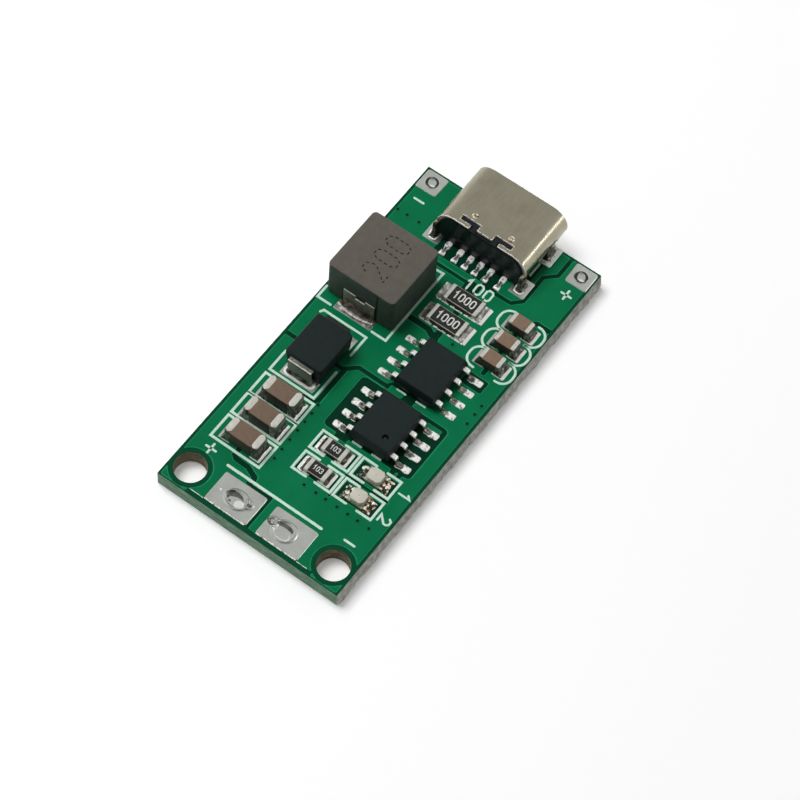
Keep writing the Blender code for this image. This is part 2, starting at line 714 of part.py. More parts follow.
def make_chip(name, shares):
    """A drafted eight-pin body with a gull-wing lead in a pocket at each place."""
    centre = place(shares)
    low, high = SEAT + CHIP_STANDOFF, SEAT + CHIP_HEIGHT
    level = (low + high) / 2
    rings = []
    sections = (
        (CHIP_DRAFT, low),
        (0, level),
        (CHIP_TOP_DRAFT, high - CHIP_CORNER),
        (CHIP_TOP_DRAFT + CHIP_CORNER, high),
    )
    for drawn_in, z in sections:
        outline = rounded_rectangle(
            centre, CHIP_WIDTH - 2 * drawn_in, CHIP_LENGTH - 2 * drawn_in, CHIP_CORNER, CORNER_STEPS
        )
        rings.append([(x, y, z) for x, y in outline])
    body = mesh_object(f"{name}_body", *loft(rings), black_epoxy())

    half = CHIP_LEAD_THICKNESS / 2
    floor = SEAT + half
    pocket_half = CHIP_LEAD_WIDTH / 2 + FIT_GAP
    thick = half + FIT_GAP
    shoulder = (CHIP_LEAD_SPAN / 2 - CHIP_FOOT + CHIP_WIDTH / 2) / 2 + half
    cuts = []
    for side, number, y in lead_rows(centre):
        wall = centre.x + side * CHIP_WIDTH / 2
        ends = sorted((wall - side * (EMBED + FIT_GAP), wall + side * CUT_PAST))
        cuts.append(box(*ends, y - pocket_half, y + pocket_half, level - thick, level + thick))
        corners = [
            (wall - side * EMBED, level),
            (centre.x + side * shoulder, level),
            (centre.x + side * (CHIP_LEAD_SPAN / 2 - CHIP_FOOT), floor),
            (centre.x + side * CHIP_LEAD_SPAN / 2, floor),
        ]
        outline = strip(bent(corners, CHIP_LEAD_BEND), CHIP_LEAD_THICKNESS)
        metal = extrude_y(outline, y - CHIP_LEAD_WIDTH / 2, y + CHIP_LEAD_WIDTH / 2)
        mesh_object(f"{name}_lead_{number}", *metal, tin())
    if name in DIMPLED_CHIPS:
        dimple_at = (
            centre.x + CHIP_WIDTH / 2 - CHIP_DIMPLE_INSET,
            centre.y - CHIP_LENGTH / 2 + CHIP_DIMPLE_INSET,
        )
        dimple = circle(dimple_at, CHIP_DIMPLE_RADIUS, SMALL_SEGMENTS)
        cuts.append(extrude_z(dimple, high - CHIP_DIMPLE_DEPTH, high + CUT_PAST))
    boolean(body, helper(f"{name}_pockets", joined(cuts)), "DIFFERENCE")


def make_chip_part(name, shares, size, rounding, material):
    """A chip capacitor or resistor along X: a block whose metal ends stand a little proud of it."""
    length, width, height, end = size
    centre = place(shares)
    middle = centre.z + height / 2
    stations = []
    for step in range(END_STEPS + 1):
        angle = step / END_STEPS * math.pi / 2
        stations.append((rounding * (1 - math.sin(angle)), rounding * (1 - math.cos(angle))))
    stations = stations[::-1] + [(end, 0), (end + END_STEP, END_STEP)]
    stations += [(length - along, drawn_in) for along, drawn_in in stations[::-1]]
    rings = []
    for along, drawn_in in stations:
        section = rounded_rectangle(
            (centre.y, middle), width - 2 * drawn_in, height - 2 * drawn_in, rounding, END_STEPS
        )
        rings.append([(centre.x - length / 2 + along, y, z) for y, z in section])
    mesh_object(name, *loft(rings), material, smooth=True)


def make_light(number, shares):
    """An indicator light: a board base with a half-round notch in each end, and a moulded lens on it."""
    centre = place(shares)
    base_top = SEAT + LIGHT_BASE_HEIGHT
    outline = rectangle(
        centre.x - LIGHT_LENGTH / 2,
        centre.x + LIGHT_LENGTH / 2,
        centre.y - LIGHT_WIDTH / 2,
        centre.y + LIGHT_WIDTH / 2,
    )
    base = mesh_object(f"light_{number}_base", *extrude_z(outline, SEAT, base_top), light_base())
    notches = []
    for side in (-1, 1):
        at = (centre.x + side * LIGHT_LENGTH / 2, centre.y)
        notch = circle(at, LIGHT_CASTELLATION, SMALL_SEGMENTS)
        notches.append(extrude_z(notch, BOARD_TOP - CUT_PAST, base_top + CUT_PAST))
    boolean(base, helper(f"light_{number}_notches", joined(notches)), "DIFFERENCE")

    low = base_top + SEAT_GAP
    high = low + LIGHT_LENS_HEIGHT
    rings = []
    sections = ((0, low), (LIGHT_LENS_DRAFT, high - LIGHT_LENS_DRAFT), (LIGHT_LENS_DRAFT * 2, high))
    for drawn_in, z in sections:
        length = LIGHT_LENS_LENGTH - 2 * drawn_in
        width = LIGHT_WIDTH - 2 * drawn_in
        outline = rounded_rectangle(centre, length, width, LIGHT_LENS_DRAFT, CORNER_STEPS)
        rings.append([(x, y, z) for x, y in outline])
    mesh_object(f"light_{number}_lens", *loft(rings), light_lens())


def main():
    clear_scene()
    make_board()
    make_pads()
    make_shell()
    make_housing()
    make_contacts()
    make_inductor()
    make_diode()
    for name, shares in CHIP_PLACES.items():
        make_chip(name, shares)
    for i, shares in enumerate(BIG_CAPACITOR_PLACES, 1):
        make_chip_part(f"output_capacitor_{i}", shares, BIG_CAPACITOR, CAPACITOR_ROUNDING, ceramic())
    for i, shares in enumerate(SMALL_CAPACITOR_PLACES, 1):
        make_chip_part(f"input_capacitor_{i}", shares, SMALL_CAPACITOR, CAPACITOR_ROUNDING, ceramic())
    for i, shares in enumerate(SENSE_RESISTOR_PLACES, 1):
        make_chip_part(f"sense_resistor_{i}", shares, SENSE_RESISTOR, RESISTOR_ROUNDING, resistor_glaze())
    for i, shares in enumerate(SMALL_RESISTOR_PLACES, 1):
        make_chip_part(f"light_resistor_{i}", shares, SMALL_RESISTOR, RESISTOR_ROUNDING, resistor_glaze())
    for i, shares in enumerate(LIGHT_PLACES, 1):
        make_light(i, shares)


main()
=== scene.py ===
"""Lithium battery charger module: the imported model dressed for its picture.

All shapes are worked out in millimetres on the board: x across it, y from the battery end to the
socket end, z up from its top face. world() turns them into the model's own metres.
"""

import math

import bmesh
import bpy
import numpy as np
from mathutils import Matrix, Vector

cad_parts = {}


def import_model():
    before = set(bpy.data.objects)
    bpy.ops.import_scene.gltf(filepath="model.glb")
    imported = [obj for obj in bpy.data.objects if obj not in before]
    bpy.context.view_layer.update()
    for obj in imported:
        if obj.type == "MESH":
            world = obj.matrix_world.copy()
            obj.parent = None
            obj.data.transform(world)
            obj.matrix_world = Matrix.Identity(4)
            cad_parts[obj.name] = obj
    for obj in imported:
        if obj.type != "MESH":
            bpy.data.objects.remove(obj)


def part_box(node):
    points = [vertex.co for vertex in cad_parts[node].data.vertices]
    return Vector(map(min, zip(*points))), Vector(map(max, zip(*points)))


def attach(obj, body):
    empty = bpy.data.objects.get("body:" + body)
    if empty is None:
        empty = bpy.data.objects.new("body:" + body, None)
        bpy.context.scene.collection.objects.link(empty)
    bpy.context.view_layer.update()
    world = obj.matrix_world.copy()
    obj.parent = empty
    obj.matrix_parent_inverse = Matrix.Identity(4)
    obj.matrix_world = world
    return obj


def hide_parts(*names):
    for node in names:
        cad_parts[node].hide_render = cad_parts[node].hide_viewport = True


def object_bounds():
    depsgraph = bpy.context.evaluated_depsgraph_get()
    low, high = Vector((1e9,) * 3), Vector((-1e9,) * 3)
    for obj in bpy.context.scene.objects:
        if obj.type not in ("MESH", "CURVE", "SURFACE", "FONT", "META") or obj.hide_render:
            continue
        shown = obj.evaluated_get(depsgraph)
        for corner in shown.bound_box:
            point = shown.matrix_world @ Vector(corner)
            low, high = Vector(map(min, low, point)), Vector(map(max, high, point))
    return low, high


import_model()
model_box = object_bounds()

MM = 0.001
board_low, board_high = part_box("board")
CORNER = np.array((board_low[0], board_low[1], board_high[2])) / MM
BOARD_X, BOARD_Y, BOARD_Z = (np.array(board_high) - np.array(board_low)) / MM


# Places


def world(points):
    """Board millimetres to the model's metres."""
    return (np.asarray(points, float) + CORNER) * MM


def extent(node):
    """Lowest and highest corner of a node in board millimetres."""
    low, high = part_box(node)
    return np.array(low) / MM - CORNER, np.array(high) / MM - CORNER


def inset(low, high, x, y, z_low=0.0, z_high=0.0):
    """Corners of a box drawn in from its sides, its floor and its top."""
    return (low[0] + x, low[1] + y, low[2] + z_low), (high[0] - x, high[1] - y, high[2] - z_high)


def spaced(low, high, step):
    """Numbers from low to high, about a step apart."""
    return np.linspace(low, high, int(round((high - low) / step)) + 1)


def unit(vectors):
    """Vectors at a length of one."""
    return vectors / np.linalg.norm(vectors, axis=-1, keepdims=True)


def span(end, side, out, back):
    """Low and high place of a stretch from out before an end to back behind it."""
    return sorted((end + side * out, end - side * back))


def left_of(ahead):
    """Directions turned a quarter to the left."""
    return np.stack((-ahead[:, 1], ahead[:, 0]), -1)


def lengths(path):
    """Length along a path up to each of its points."""
    return np.concatenate(([0], np.cumsum(np.linalg.norm(np.diff(path, axis=0), axis=1))))


def spread(*parts):
    """Points from coordinates that are spread over each other."""
    return np.stack(np.broadcast_arrays(*parts), -1)


def at_level(outline, z):
    """An outline (x, y) lifted to one height."""
    return np.column_stack((outline, np.full(len(outline), float(z))))


# Shapes: each is (points, list of face arrays, number of its material in the piece)


def lattice(rows, columns, rows_close=False, columns_close=False):
    """Four-sided faces between neighbours of a grid of points, wrapping where it closes."""
    row, column = np.mgrid[: rows - (not rows_close), : columns - (not columns_close)].reshape(2, -1)
    row, next_row, next_column = row * columns, (row + 1) % rows * columns, (column + 1) % columns
    return np.stack((row + column, row + next_column, next_row + next_column, next_row + column), -1)


def loft(rings, mark=0, closed=False):
    """Skin over rings of points, ring k at step k along, with its two ends filled unless it closes."""
    rings = np.asarray(rings, float)
    count, size = rings.shape[:2]
    faces = [lattice(count, size, closed, True)]
    if not closed:
        faces.append(np.arange(size)[None, ::-1])
        faces.append(np.arange((count - 1) * size, count * size)[None, :])
    return rings.reshape(-1, 3), faces, mark


def rounded(x_low, x_high, y_low, y_high, radius, steps=5):
    """Rectangle with round corners: each corner's centre plus radius times (cos a, sin a)."""
    radius = min(radius, (x_high - x_low) / 2, (y_high - y_low) / 2)
    angle = np.linspace(0, math.pi / 2, steps + 1)[None, :] + np.arange(4)[:, None] * math.pi / 2
    left, right, near, far = x_low + radius, x_high - radius, y_low + radius, y_high - radius
    centre = np.array(((right, far), (left, far), (left, near), (right, near)))
    return (centre[:, None, :] + radius * np.stack((np.cos(angle), np.sin(angle)), -1)).reshape(-1, 2)


def edged(x_low, x_high, y_low, y_high, radius):
    """The same outline with points along its straight sides as well."""
    arcs = rounded(x_low, x_high, y_low, y_high, radius, 4).reshape(4, 5, 2)
    share = (np.arange(1, 6) / 6)[None, :, None]
    sides = arcs[:, -1:] + (np.roll(arcs[:, :1], -1, 0) - arcs[:, -1:]) * share
    return np.concatenate((arcs, sides), 1).reshape(-1, 2)


def block(low, high, corner, edge=0.05, draft=0.0, steps=3, mark=0, smooth_corner=5):
    """Moulded block: level k is a rounded rectangle drawn in by edge * (1 - sin a) at a height of
    edge * (1 - cos a) from either face, and by the draft's share of the height above."""
    angle = np.linspace(0, math.pi / 2, steps + 1)
    drawn, rise = edge * (1 - np.sin(angle)), edge * (1 - np.cos(angle))
    height = np.concatenate((low[2] + rise, high[2] - rise[::-1]))
    drawn = np.concatenate((drawn, drawn[::-1])) + draft * (height - low[2]) / (high[2] - low[2])
    rings = []
    for d, z in zip(drawn, height):
        sides = low[0] + d, high[0] - d, low[1] + d, high[1] - d
        rings.append(at_level(rounded(*sides, max(corner - d, 0.01), smooth_corner), z))
    return loft(rings, mark)


def turned(x, y, profile, segments=32, mark=0):
    """Body turned round an upright line: (radius, z) swept by (cos a, sin a)."""
    radius, z = np.asarray(profile, float).T[:, :, None]
    angle = np.linspace(0, 2 * math.pi, segments, endpoint=False)
    return loft(spread(x + radius * np.cos(angle), y + radius * np.sin(angle), z), mark)


def stroke(path, width, z_low, z_high, slope=0.0, mark=0, closed=False):
    """Ribbon along a path. Its edges stand half a width off along the mitre (m + n) / (1 + m.n) of
    the two neighbours' normals, and each end closes on half a circle, r * cos a wide at r * sin a out."""
    path = np.asarray(path, float)
    half = np.full(len(path), width / 2)
    if closed:
        after = unit(np.roll(path, -1, 0) - path)
        before = np.roll(after, 1, 0)
    else:
        ahead = unit(np.diff(path, axis=0))
        angle = np.radians((80, 55, 28))
        out = np.sin(angle)[:, None] * width / 2
        path = np.concatenate((path[0] - ahead[0] * out, path, path[-1] + ahead[-1] * out[::-1]))
        round_end = np.cos(angle) * width / 2
        half = np.concatenate((round_end, half, round_end[::-1]))
        before = np.concatenate((np.repeat(ahead[:1], 4, 0), ahead, np.repeat(ahead[-1:], 3, 0)))
        after = np.concatenate((before[:3], ahead, np.repeat(ahead[-1:], 4, 0)))
    before, after = left_of(before), left_of(after)
    mitre = (before + after) / (1 + np.sum(before * after, 1, keepdims=True))
    low_off, high_off = mitre * half[:, None], mitre * (half + slope * half / half.max())[:, None]
    corners = (low_off, z_low), (high_off, z_high), (-high_off, z_high), (-low_off, z_low)
    return loft(np.stack([at_level(path + off, z) for off, z in corners], 1), mark, closed)


def bent(corners, radius):
    """Path whose inner corners are rounded: (1 - t)^2 * start + 2 t (1 - t) * corner + t^2 * end."""
    corners = np.asarray(corners, float)
    corner = corners[1:-1]
    start = (corner + unit(corners[:-2] - corner) * radius)[:, None]
    end = (corner + unit(corners[2:] - corner) * radius)[:, None]
    t = np.linspace(0, 1, 6)[None, :, None]
    curve = (1 - t) ** 2 * start + 2 * t * (1 - t) * corner[:, None] + t**2 * end
    return np.concatenate((corners[:1], curve.reshape(-1, 2), corners[-1:]))


def half_round(x, y, side, radius, stretch, tail):
    """Round bracket: a half circle, (x + side * r * cos a, y + r * sin a), drawn out along y by a
    straight stretch at its middle, with a short tail at each end."""
    angle = np.linspace(math.pi / 2, -math.pi / 2, 15)
    along = radius * np.sin(angle)
    arc = spread(x + side * radius * np.cos(angle), y + along + stretch * np.sign(np.round(along, 6)))
    ends = spread(x - side * tail, arc[[0, -1], 1])
    return np.concatenate((ends[:1], arc, ends[1:]))


def folded(path, middle, width, thickness, along="y", edge=0.03, mark=0, flare=1.0):
    """Sheet metal carried along a path in an upright plane: the section is a rectangle with round
    corners, (across, through), whose through direction is the path's normal."""
    path = np.asarray(path, float)
    normal = left_of(unit(np.gradient(path, axis=0)))
    section = rounded(-width / 2, width / 2, -thickness / 2, thickness / 2, edge, 2)
    across = middle + section[:, 0] * np.atleast_1d(flare)[:, None]
    through = path[:, None] + normal[:, None] * section[:, 1:]
    out, up = through[..., 0], through[..., 1]
    return loft(spread(across, out, up) if along == "y" else spread(out, across, up), mark)


def solder(land, part, height, base, marks, turn, corner, lip=0.03, ragged=0.0):
    """Solder drawn up a part: share t of the way from the land's outline to the part's it stands at
    height * (1 - sqrt(1 - t^2)), a hollow quarter circle. It is two skins that meet at share `turn`.
    Where ragged, the outline wanders by sin 3a + 0.6 sin 7a of the angle a round its middle."""
    outer, inner = edged(*land, corner), edged(*part, corner / 3)
    middle = outer.mean(0)
    away = outer - middle
    angle = np.arctan2(away[:, 1], away[:, 0])
    phase = 5.1 * middle[0] + 2.3 * middle[1]
    wander = ragged * (np.sin(3 * angle + phase) + 0.6 * np.sin(7 * angle + 2.3 * phase))
    outer = outer + unit(away) * wander[:, None]
    skins = []
    for mark, first, last in ((marks[0], 0, turn), (marks[1], turn, 1)):
        rings = [at_level(outer + (inner - outer) * first, base - 0.01)]
        for t in np.linspace(first, last, 5):
            level = base + lip * min(1.0, 0.6 + t) + (height - lip) * (1 - math.sqrt(1 - t * t))
            rings.append(at_level(outer + (inner - outer) * t, level))
        skins.append(loft(rings, mark))
    return skins


def bead(path, thick, wander=0.0, mark=0, normal=(0, 0, 1)):
    """Thin bright edge: a rod of six sides along a path. Its middle wanders along `normal`, and its
    thickness with it, by sin 9s + 0.7 sin 23s of the length s along the path."""
    path = np.asarray(path, float)
    length = lengths(path)
    s = spaced(0, length[-1], 0.06)
    line = np.stack([np.interp(s, length, column) for column in path.T], -1)
    normal = np.broadcast_to(np.asarray(normal, float), line.shape)
    across = unit(np.cross(unit(np.gradient(line, axis=0)), normal))
    off = wander * (np.sin(9 * s) + 0.7 * np.sin(23 * s + 1))
    half = (thick / 2 * (1 + 12 * off))[:, None, None]
    angle = np.linspace(0, 2 * math.pi, 6, endpoint=False)[:, None]
    middle = (line + off[:, None] * normal)[:, None]
    return loft(middle + half * (np.cos(angle) * across[:, None] + np.sin(angle) * normal[:, None]), mark)


def rod(x_low, x_high, y, z, thick, wander, mark=0):
    """A bead along x."""
    return bead(((x_low, y, z), (x_high, y, z)), thick, wander, mark)


DIGITS = {
    "0": [
        ((0.15, 0), (0.45, 0), (0.6, 0.2), (0.6, 0.8), (0.45, 1), (0.15, 1), (0, 0.8), (0, 0.2), (0.15, 0)),
    ],
    "1": [((0.1, 0.75), (0.35, 1), (0.35, 0))],
    "2": [((0, 0.8), (0.15, 1), (0.45, 1), (0.6, 0.8), (0.6, 0.6), (0, 0), (0.6, 0))],
    "3": [
        ((0, 0.88), (0.15, 1), (0.45, 1), (0.6, 0.85), (0.6, 0.65), (0.3, 0.52)),
        ((0.3, 0.52), (0.6, 0.35), (0.6, 0.15), (0.45, 0), (0.15, 0), (0, 0.12)),
    ],
    "+": [((-0.1, 0.5), (0.7, 0.5)), ((0.3, 0.1), (0.3, 0.9))],
    "-": [((-0.1, 0.5), (0.7, 0.5))],
}


def dashes(path, length, gap):
    """Short pieces of a path: equal steps along it, one drawn and one skipped."""
    reached = lengths(path)
    starts = np.arange(0, reached[-1] - length / 2, length + gap)
    ends = np.minimum(starts + length, reached[-1])
    steps = np.stack((starts, ends), 1)
    return list(np.stack([np.interp(steps, reached, column) for column in path.T], -1))


def lettering(text, centre, height, width, turn, z_low, z_high, mark=0, dashed=None, squeeze=1.0):
    """Numbers drawn as strokes, in a row that is turned about its middle."""
    pitch = 0.95 * height * squeeze
    angle = math.radians(turn)
    spin = np.array(((math.cos(angle), math.sin(angle)), (-math.sin(angle), math.cos(angle))))
    bodies = []
    for place, sign in enumerate(text):
        shift = np.array(((place - (len(text) - 1) / 2) * pitch - 0.3 * height * squeeze, -height / 2))
        for line in DIGITS[sign]:
            path = (np.array(line) * height * (squeeze, 1) + shift) @ spin + centre
            for part in [path] if dashed is None else dashes(path, *dashed):
                bodies.append(stroke(part, width, z_low, z_high, 0.0, mark))
    return bodies


# Pieces

SOFT_EDGE = 0.05


def mesh_of(name, bodies, materials, is_sheet=False):
    """One mesh of several bodies, its faces turned outwards."""
    points, faces, marks, start = [], [], [], 0
    for corners, sides, mark in bodies:
        points.append(corners)
        for side in sides:
            faces += (side + start).tolist()
            marks += [mark] * len(side)
        start += len(corners)
    mesh = bpy.data.meshes.new(name)
    mesh.from_pydata(world(np.concatenate(points)).tolist(), [], faces)
    for material in materials:
        mesh.materials.append(material)
    mesh.polygons.foreach_set("material_index", marks)
    draft = bmesh.new()
    draft.from_mesh(mesh)
    if is_sheet:
        loose = [point for point in draft.verts if not point.link_faces]
        bmesh.ops.delete(draft, geom=loose, context="VERTS")
    else:
        bmesh.ops.recalc_face_normals(draft, faces=draft.faces)
    draft.to_mesh(mesh)
    draft.free()
    return mesh


def placed(name, data):
    """A new object in the scene."""
    thing = bpy.data.objects.new(name, data)
    bpy.context.scene.collection.objects.link(thing)
    return thing


def settled(thing):
    """The object's mesh with its modifiers worked out."""
    bpy.context.view_layer.update()
    made = thing.evaluated_get(bpy.context.evaluated_depsgraph_get())
    mesh = bpy.data.meshes.new_from_object(made)
    thing.modifiers.clear()
    thing.data = mesh


def piece(name, bodies, materials, replaces=(), crease=35, cuts=None, wall=None, is_sheet=False):
    """A dressed piece that rides on the module, stands for the named nodes and may be cut. One with a
    wall is thickened inwards and its edges are softened."""
    thing = placed(name, mesh_of(name, bodies, materials, is_sheet))
    if cuts:
        tool = placed(name + "_cuts", mesh_of(name + "_cuts", cuts, materials))
        cut = thing.modifiers.new("cuts", "BOOLEAN")
        cut.operation = "DIFFERENCE"
        cut.solver = "EXACT"
        cut.use_self = True
        cut.object = tool
        settled(thing)
        bpy.data.objects.remove(tool)
    if wall:
        solid = thing.modifiers.new("wall", "SOLIDIFY")
        solid.thickness = wall * MM
        solid.offset = -1
        solid.use_even_offset = True
        solid.material_offset_rim = 1
        soft = thing.modifiers.new("edges", "BEVEL")
        soft.width = SOFT_EDGE * MM
        soft.segments = 2
        soft.limit_method = "ANGLE"
        soft.angle_limit = math.radians(50)
        settled(thing)
    mesh = thing.data
    mesh.name = name
    mesh.polygons.foreach_set("use_smooth", np.ones(len(mesh.polygons), bool))
    mesh.set_sharp_from_angle(angle=math.radians(crease))
    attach(thing, "root")
    if replaces:
        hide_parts(*replaces)


# Finishes


class Drawing:
    """Nodes of a material or a world. Its methods add a node and give back its output."""

    def __init__(self, tree, space):
        self.nodes, self.links = tree.nodes, tree.links
        self.place = self.add("TexCoord").outputs[space]

    def add(self, kind, inputs=None, operation=None):
        """A node whose inputs, by name or number, are linked to sockets or set to values."""
        node = self.nodes.new("ShaderNode" + kind)
        if operation:
            node.operation = operation
        if kind == "Mix":
            node.data_type = "RGBA"
        for place, value in (inputs or {}).items():
            if isinstance(value, bpy.types.NodeSocket):
                self.links.new(value, node.inputs[place])
            else:
                node.inputs[place].default_value = value
        return node

    def noise(self, scale, detail=3.0, stretch=None):
        """Cloudy noise, scale patches to a metre, drawn out along an axis where stretched."""
        place = self.place
        if stretch:
            place = self.add("Mapping", {"Scale": stretch, "Vector": place}).outputs["Vector"]
        return self.add("TexNoise", {"Scale": scale, "Detail": detail, "Vector": place}).outputs["Fac"]

    def ramp(self, value, *stops):
        """Colours along a value, each stop a position and a colour."""
        band = self.add("ValToRGB", {"Fac": value})
        first, last = band.color_ramp.elements
        first.position, first.color = stops[0][0], (*stops[0][1:], 1)
        last.position, last.color = stops[-1][0], (*stops[-1][1:], 1)
        for position, *colour in stops[1:-1]:
            band.color_ramp.elements.new(position).color = (*colour, 1)
        return band.outputs["Color"]

    def shades(self, value, tone, dark, light, apart=0.2):
        """A tone in the middle of a value, darker below and lighter above."""
        low, high = tone * dark, np.minimum(tone * light, 1)
        return self.ramp(value, (0.5 - apart, *low), (0.5, *tone), (0.5 + apart, *high))

    def reach(self, value, low, high, from_low=0.3, from_high=0.7):
        """A value spread over another range."""
        ends = {"From Min": from_low, "From Max": from_high, "To Min": low, "To Max": high}
        return self.add("MapRange", {**ends, "Value": value}).outputs["Result"]

    def maths(self, operation, *values):
        """A sum on sockets or numbers."""
        return self.add("Math", dict(enumerate(values)), operation).outputs["Value"]

    def blend(self, first, second, share):
        """The share of the second value and the rest of the first."""
        rest = self.maths("MULTIPLY", first, 1 - share)
        return self.maths("ADD", rest, self.maths("MULTIPLY", second, share))

    def mixed(self, share, first, second):
        """One colour where the share is nought, the other where it is one."""
        return self.add("Mix", {"Factor": share, 6: first, 7: second}).outputs[2]

    def along(self, axis):
        """A coordinate in metres."""
        return self.add("SeparateXYZ", {"Vector": self.place}).outputs[axis]

    def away(self, axis, middle):
        """Distance along an axis from a place given in millimetres."""
        return self.maths("ABSOLUTE", self.maths("SUBTRACT", self.along(axis), middle * MM))


class Finish(Drawing):
    """A material under way. done() gives it colour, roughness and a relief some millimetres deep."""

    def __init__(self, name, metallic=0.0, specular=0.5):
        self.material = bpy.data.materials.new(name)
        self.material.use_nodes = True
        super().__init__(self.material.node_tree, "Object")
        self.surface = self.nodes["Principled BSDF"].inputs
        self.surface["Metallic"].default_value = metallic
        self.surface["Specular IOR Level"].default_value = specular

    def done(self, colour, rough, height, depth):
        """The finished material."""
        bump = self.add("Bump", {"Distance": depth * MM, "Height": height}).outputs["Normal"]
        for name, value in (("Base Color", colour), ("Roughness", rough), ("Normal", bump)):
            self.links.new(value, self.surface[name])
        return self.material


def finish(name, tone, rough, metallic=0.0, specular=0.5, patch=900, grain=9000, vary=0.14, depth=0.004):
    """Colour is the tone, darker and lighter with broad patches and a fine grain. Roughness follows
    the patches, and the grain stands up as relief."""
    sheet = Finish(name, metallic, specular)
    broad, fine = sheet.noise(patch, 2), sheet.noise(grain, 4)
    colour = sheet.shades(sheet.blend(broad, fine, 0.35), np.array(tone), 1 - vary, 1 + vary)
    return sheet.done(colour, sheet.reach(broad, rough * 0.85, min(rough * 1.15, 1)), fine, depth)


def flecked(name, rough, metallic, scale, depth, *stops):
    """Solder or plating mottled with dross and flux: broken patches of the given colours, whose whitest
    patches are painted glints and darkest partly painted shade.
    """
    sheet = Finish(name, metallic)
    cloud = sheet.noise(scale)
    return sheet.done(sheet.ramp(cloud, *stops), sheet.reach(cloud, rough * 1.3, rough * 0.8), cloud, depth)


def drawn_metal(name, tone, rough, stretch):
    """Rolled sheet: streaks along the way that it was drawn, with broad faint stains."""
    sheet = Finish(name, 1.0)
    streak, stain = sheet.noise(9000, 3, stretch), sheet.noise(700)
    colour = sheet.shades(sheet.blend(stain, streak, 0.4), np.array(tone), 0.86, 1.1)
    return sheet.done(colour, sheet.reach(stain, rough * 0.85, rough * 1.2), streak, 0.0012)


MASK = np.array((0.001, 0.156, 0.058))
MASK_GLOW = (0.002, 0, 0.002)
BARE_MASK = np.array((0.001, 0.060, 0.026))
GAP_MASK = np.array((0.0005, 0.029, 0.014))
# Pale green on the pour's sloped edges: thinned mask, and a painted highlight along them.
EDGE_MASK = (0.012, 0.24, 0.105, 1)
LAMINATE = np.array((0.68, 0.65, 0.58))
SCORED_EDGE = np.array((0.27, 0.42, 0.30))
BORED = np.array((0.30, 0.27, 0.19))
TOP_IRON = np.array((0.117, 0.107, 0.089))
# Sides of the inductor: darker and greener as painted shade and a painted reflection of the green board.
SHADED_SIDE_IRON = np.array((0.046, 0.072, 0.055))
FACE_SKIN = 0.012
POUR_HEIGHT = 0.035
POUR_DEEP = 0.02
MOUNT_HOLES = ((1.75, 1.95), (15.75, 1.95))
MOUNT_CLEARANCE = 1.78


def mask_over_copper():
    """Green mask, in faint broad clouds and a fine grain, and paler on the copper's sloped edges, partly
    where it thins over them and partly as a painted highlight.
    """
    sheet = Finish("mask_over_copper", 0, 0.1)
    broad, fine = sheet.noise(260), sheet.noise(12000)
    stops = (0.3, *MASK * 0.86), (0.5, *MASK), (0.7, *(MASK * 1.12 + MASK_GLOW))
    flat = sheet.ramp(sheet.blend(broad, fine, 0.2), *stops)
    top = (BOARD_Z / 2 + POUR_HEIGHT) * MM
    # The sloped edges of the pour take the pale edge tone, part thinned mask and part painted highlight.
    thinned_and_highlit_edge = sheet.reach(sheet.away("Z", BOARD_Z / 2), 1.0, 0.0, top - FACE_SKIN * MM, top - 0.002 * MM)
    return sheet.done(sheet.mixed(thinned_and_highlit_edge, flat, EDGE_MASK), sheet.reach(broad, 0.34, 0.46), fine, 0.0025)


def bare_board():
    """The board itself: dark mask in the gaps, paler at the margins and round the mounting holes,
    and glass cloth where the board was bored, scored at its ends or routed along its sides."""
    sheet = Finish("bare_board", 0, 0.08)
    fine, layers = sheet.noise(11000, 4), sheet.noise(900, 4, (1, 1, 5))
    fibres = sheet.blend(layers, fine, 0.4)
    routed = sheet.shades(fibres, LAMINATE, 0.5, 1.3, 0.14)
    scored = sheet.shades(fibres, SCORED_EDGE, 0.6, 1.4, 0.14)
    bored = sheet.shades(fibres, BORED, 0.6, 1.6, 0.12)
    margin, gap = (sheet.shades(fine, tone, 0.8, 1.2) for tone in (BARE_MASK, GAP_MASK))
    from_end = sheet.away("Y", CORNER[1] + BOARD_Y / 2)
    from_side = sheet.away("X", CORNER[0] + BOARD_X / 2)
    off_x = sheet.maths("SUBTRACT", from_side, (MOUNT_HOLES[1][0] - MOUNT_HOLES[0][0]) / 2 * MM)
    off_y = sheet.away("Y", CORNER[1] + MOUNT_HOLES[0][1])
    squared = sheet.maths("MULTIPLY_ADD", off_x, off_x, sheet.maths("MULTIPLY", off_y, off_y))
    near_end = sheet.maths("GREATER_THAN", from_end, (BOARD_Y / 2 - 0.47) * MM)
    near_side = sheet.maths("GREATER_THAN", from_side, (BOARD_X / 2 - 0.3) * MM)
    near_hole = sheet.maths("LESS_THAN", squared, (2.4 * MM) ** 2)
    outer = sheet.maths("MAXIMUM", near_hole, sheet.maths("MAXIMUM", near_end, near_side))
    at_end = sheet.maths("GREATER_THAN", from_end, (BOARD_Y / 2 - 0.02) * MM)
    in_hole = sheet.maths("LESS_THAN", squared, (1.6 * MM) ** 2)
    on_face = sheet.maths("GREATER_THAN", sheet.away("Z", BOARD_Z / 2), (BOARD_Z / 2 - FACE_SKIN) * MM)
    wall = sheet.mixed(in_hole, sheet.mixed(at_end, routed, scored), bored)
    colour = sheet.mixed(on_face, wall, sheet.mixed(outer, gap, margin))
    rough = sheet.maths("MULTIPLY_ADD", on_face, -0.45, 0.9)
    return sheet.done(colour, rough, sheet.maths("ADD", fine, layers), 0.006)


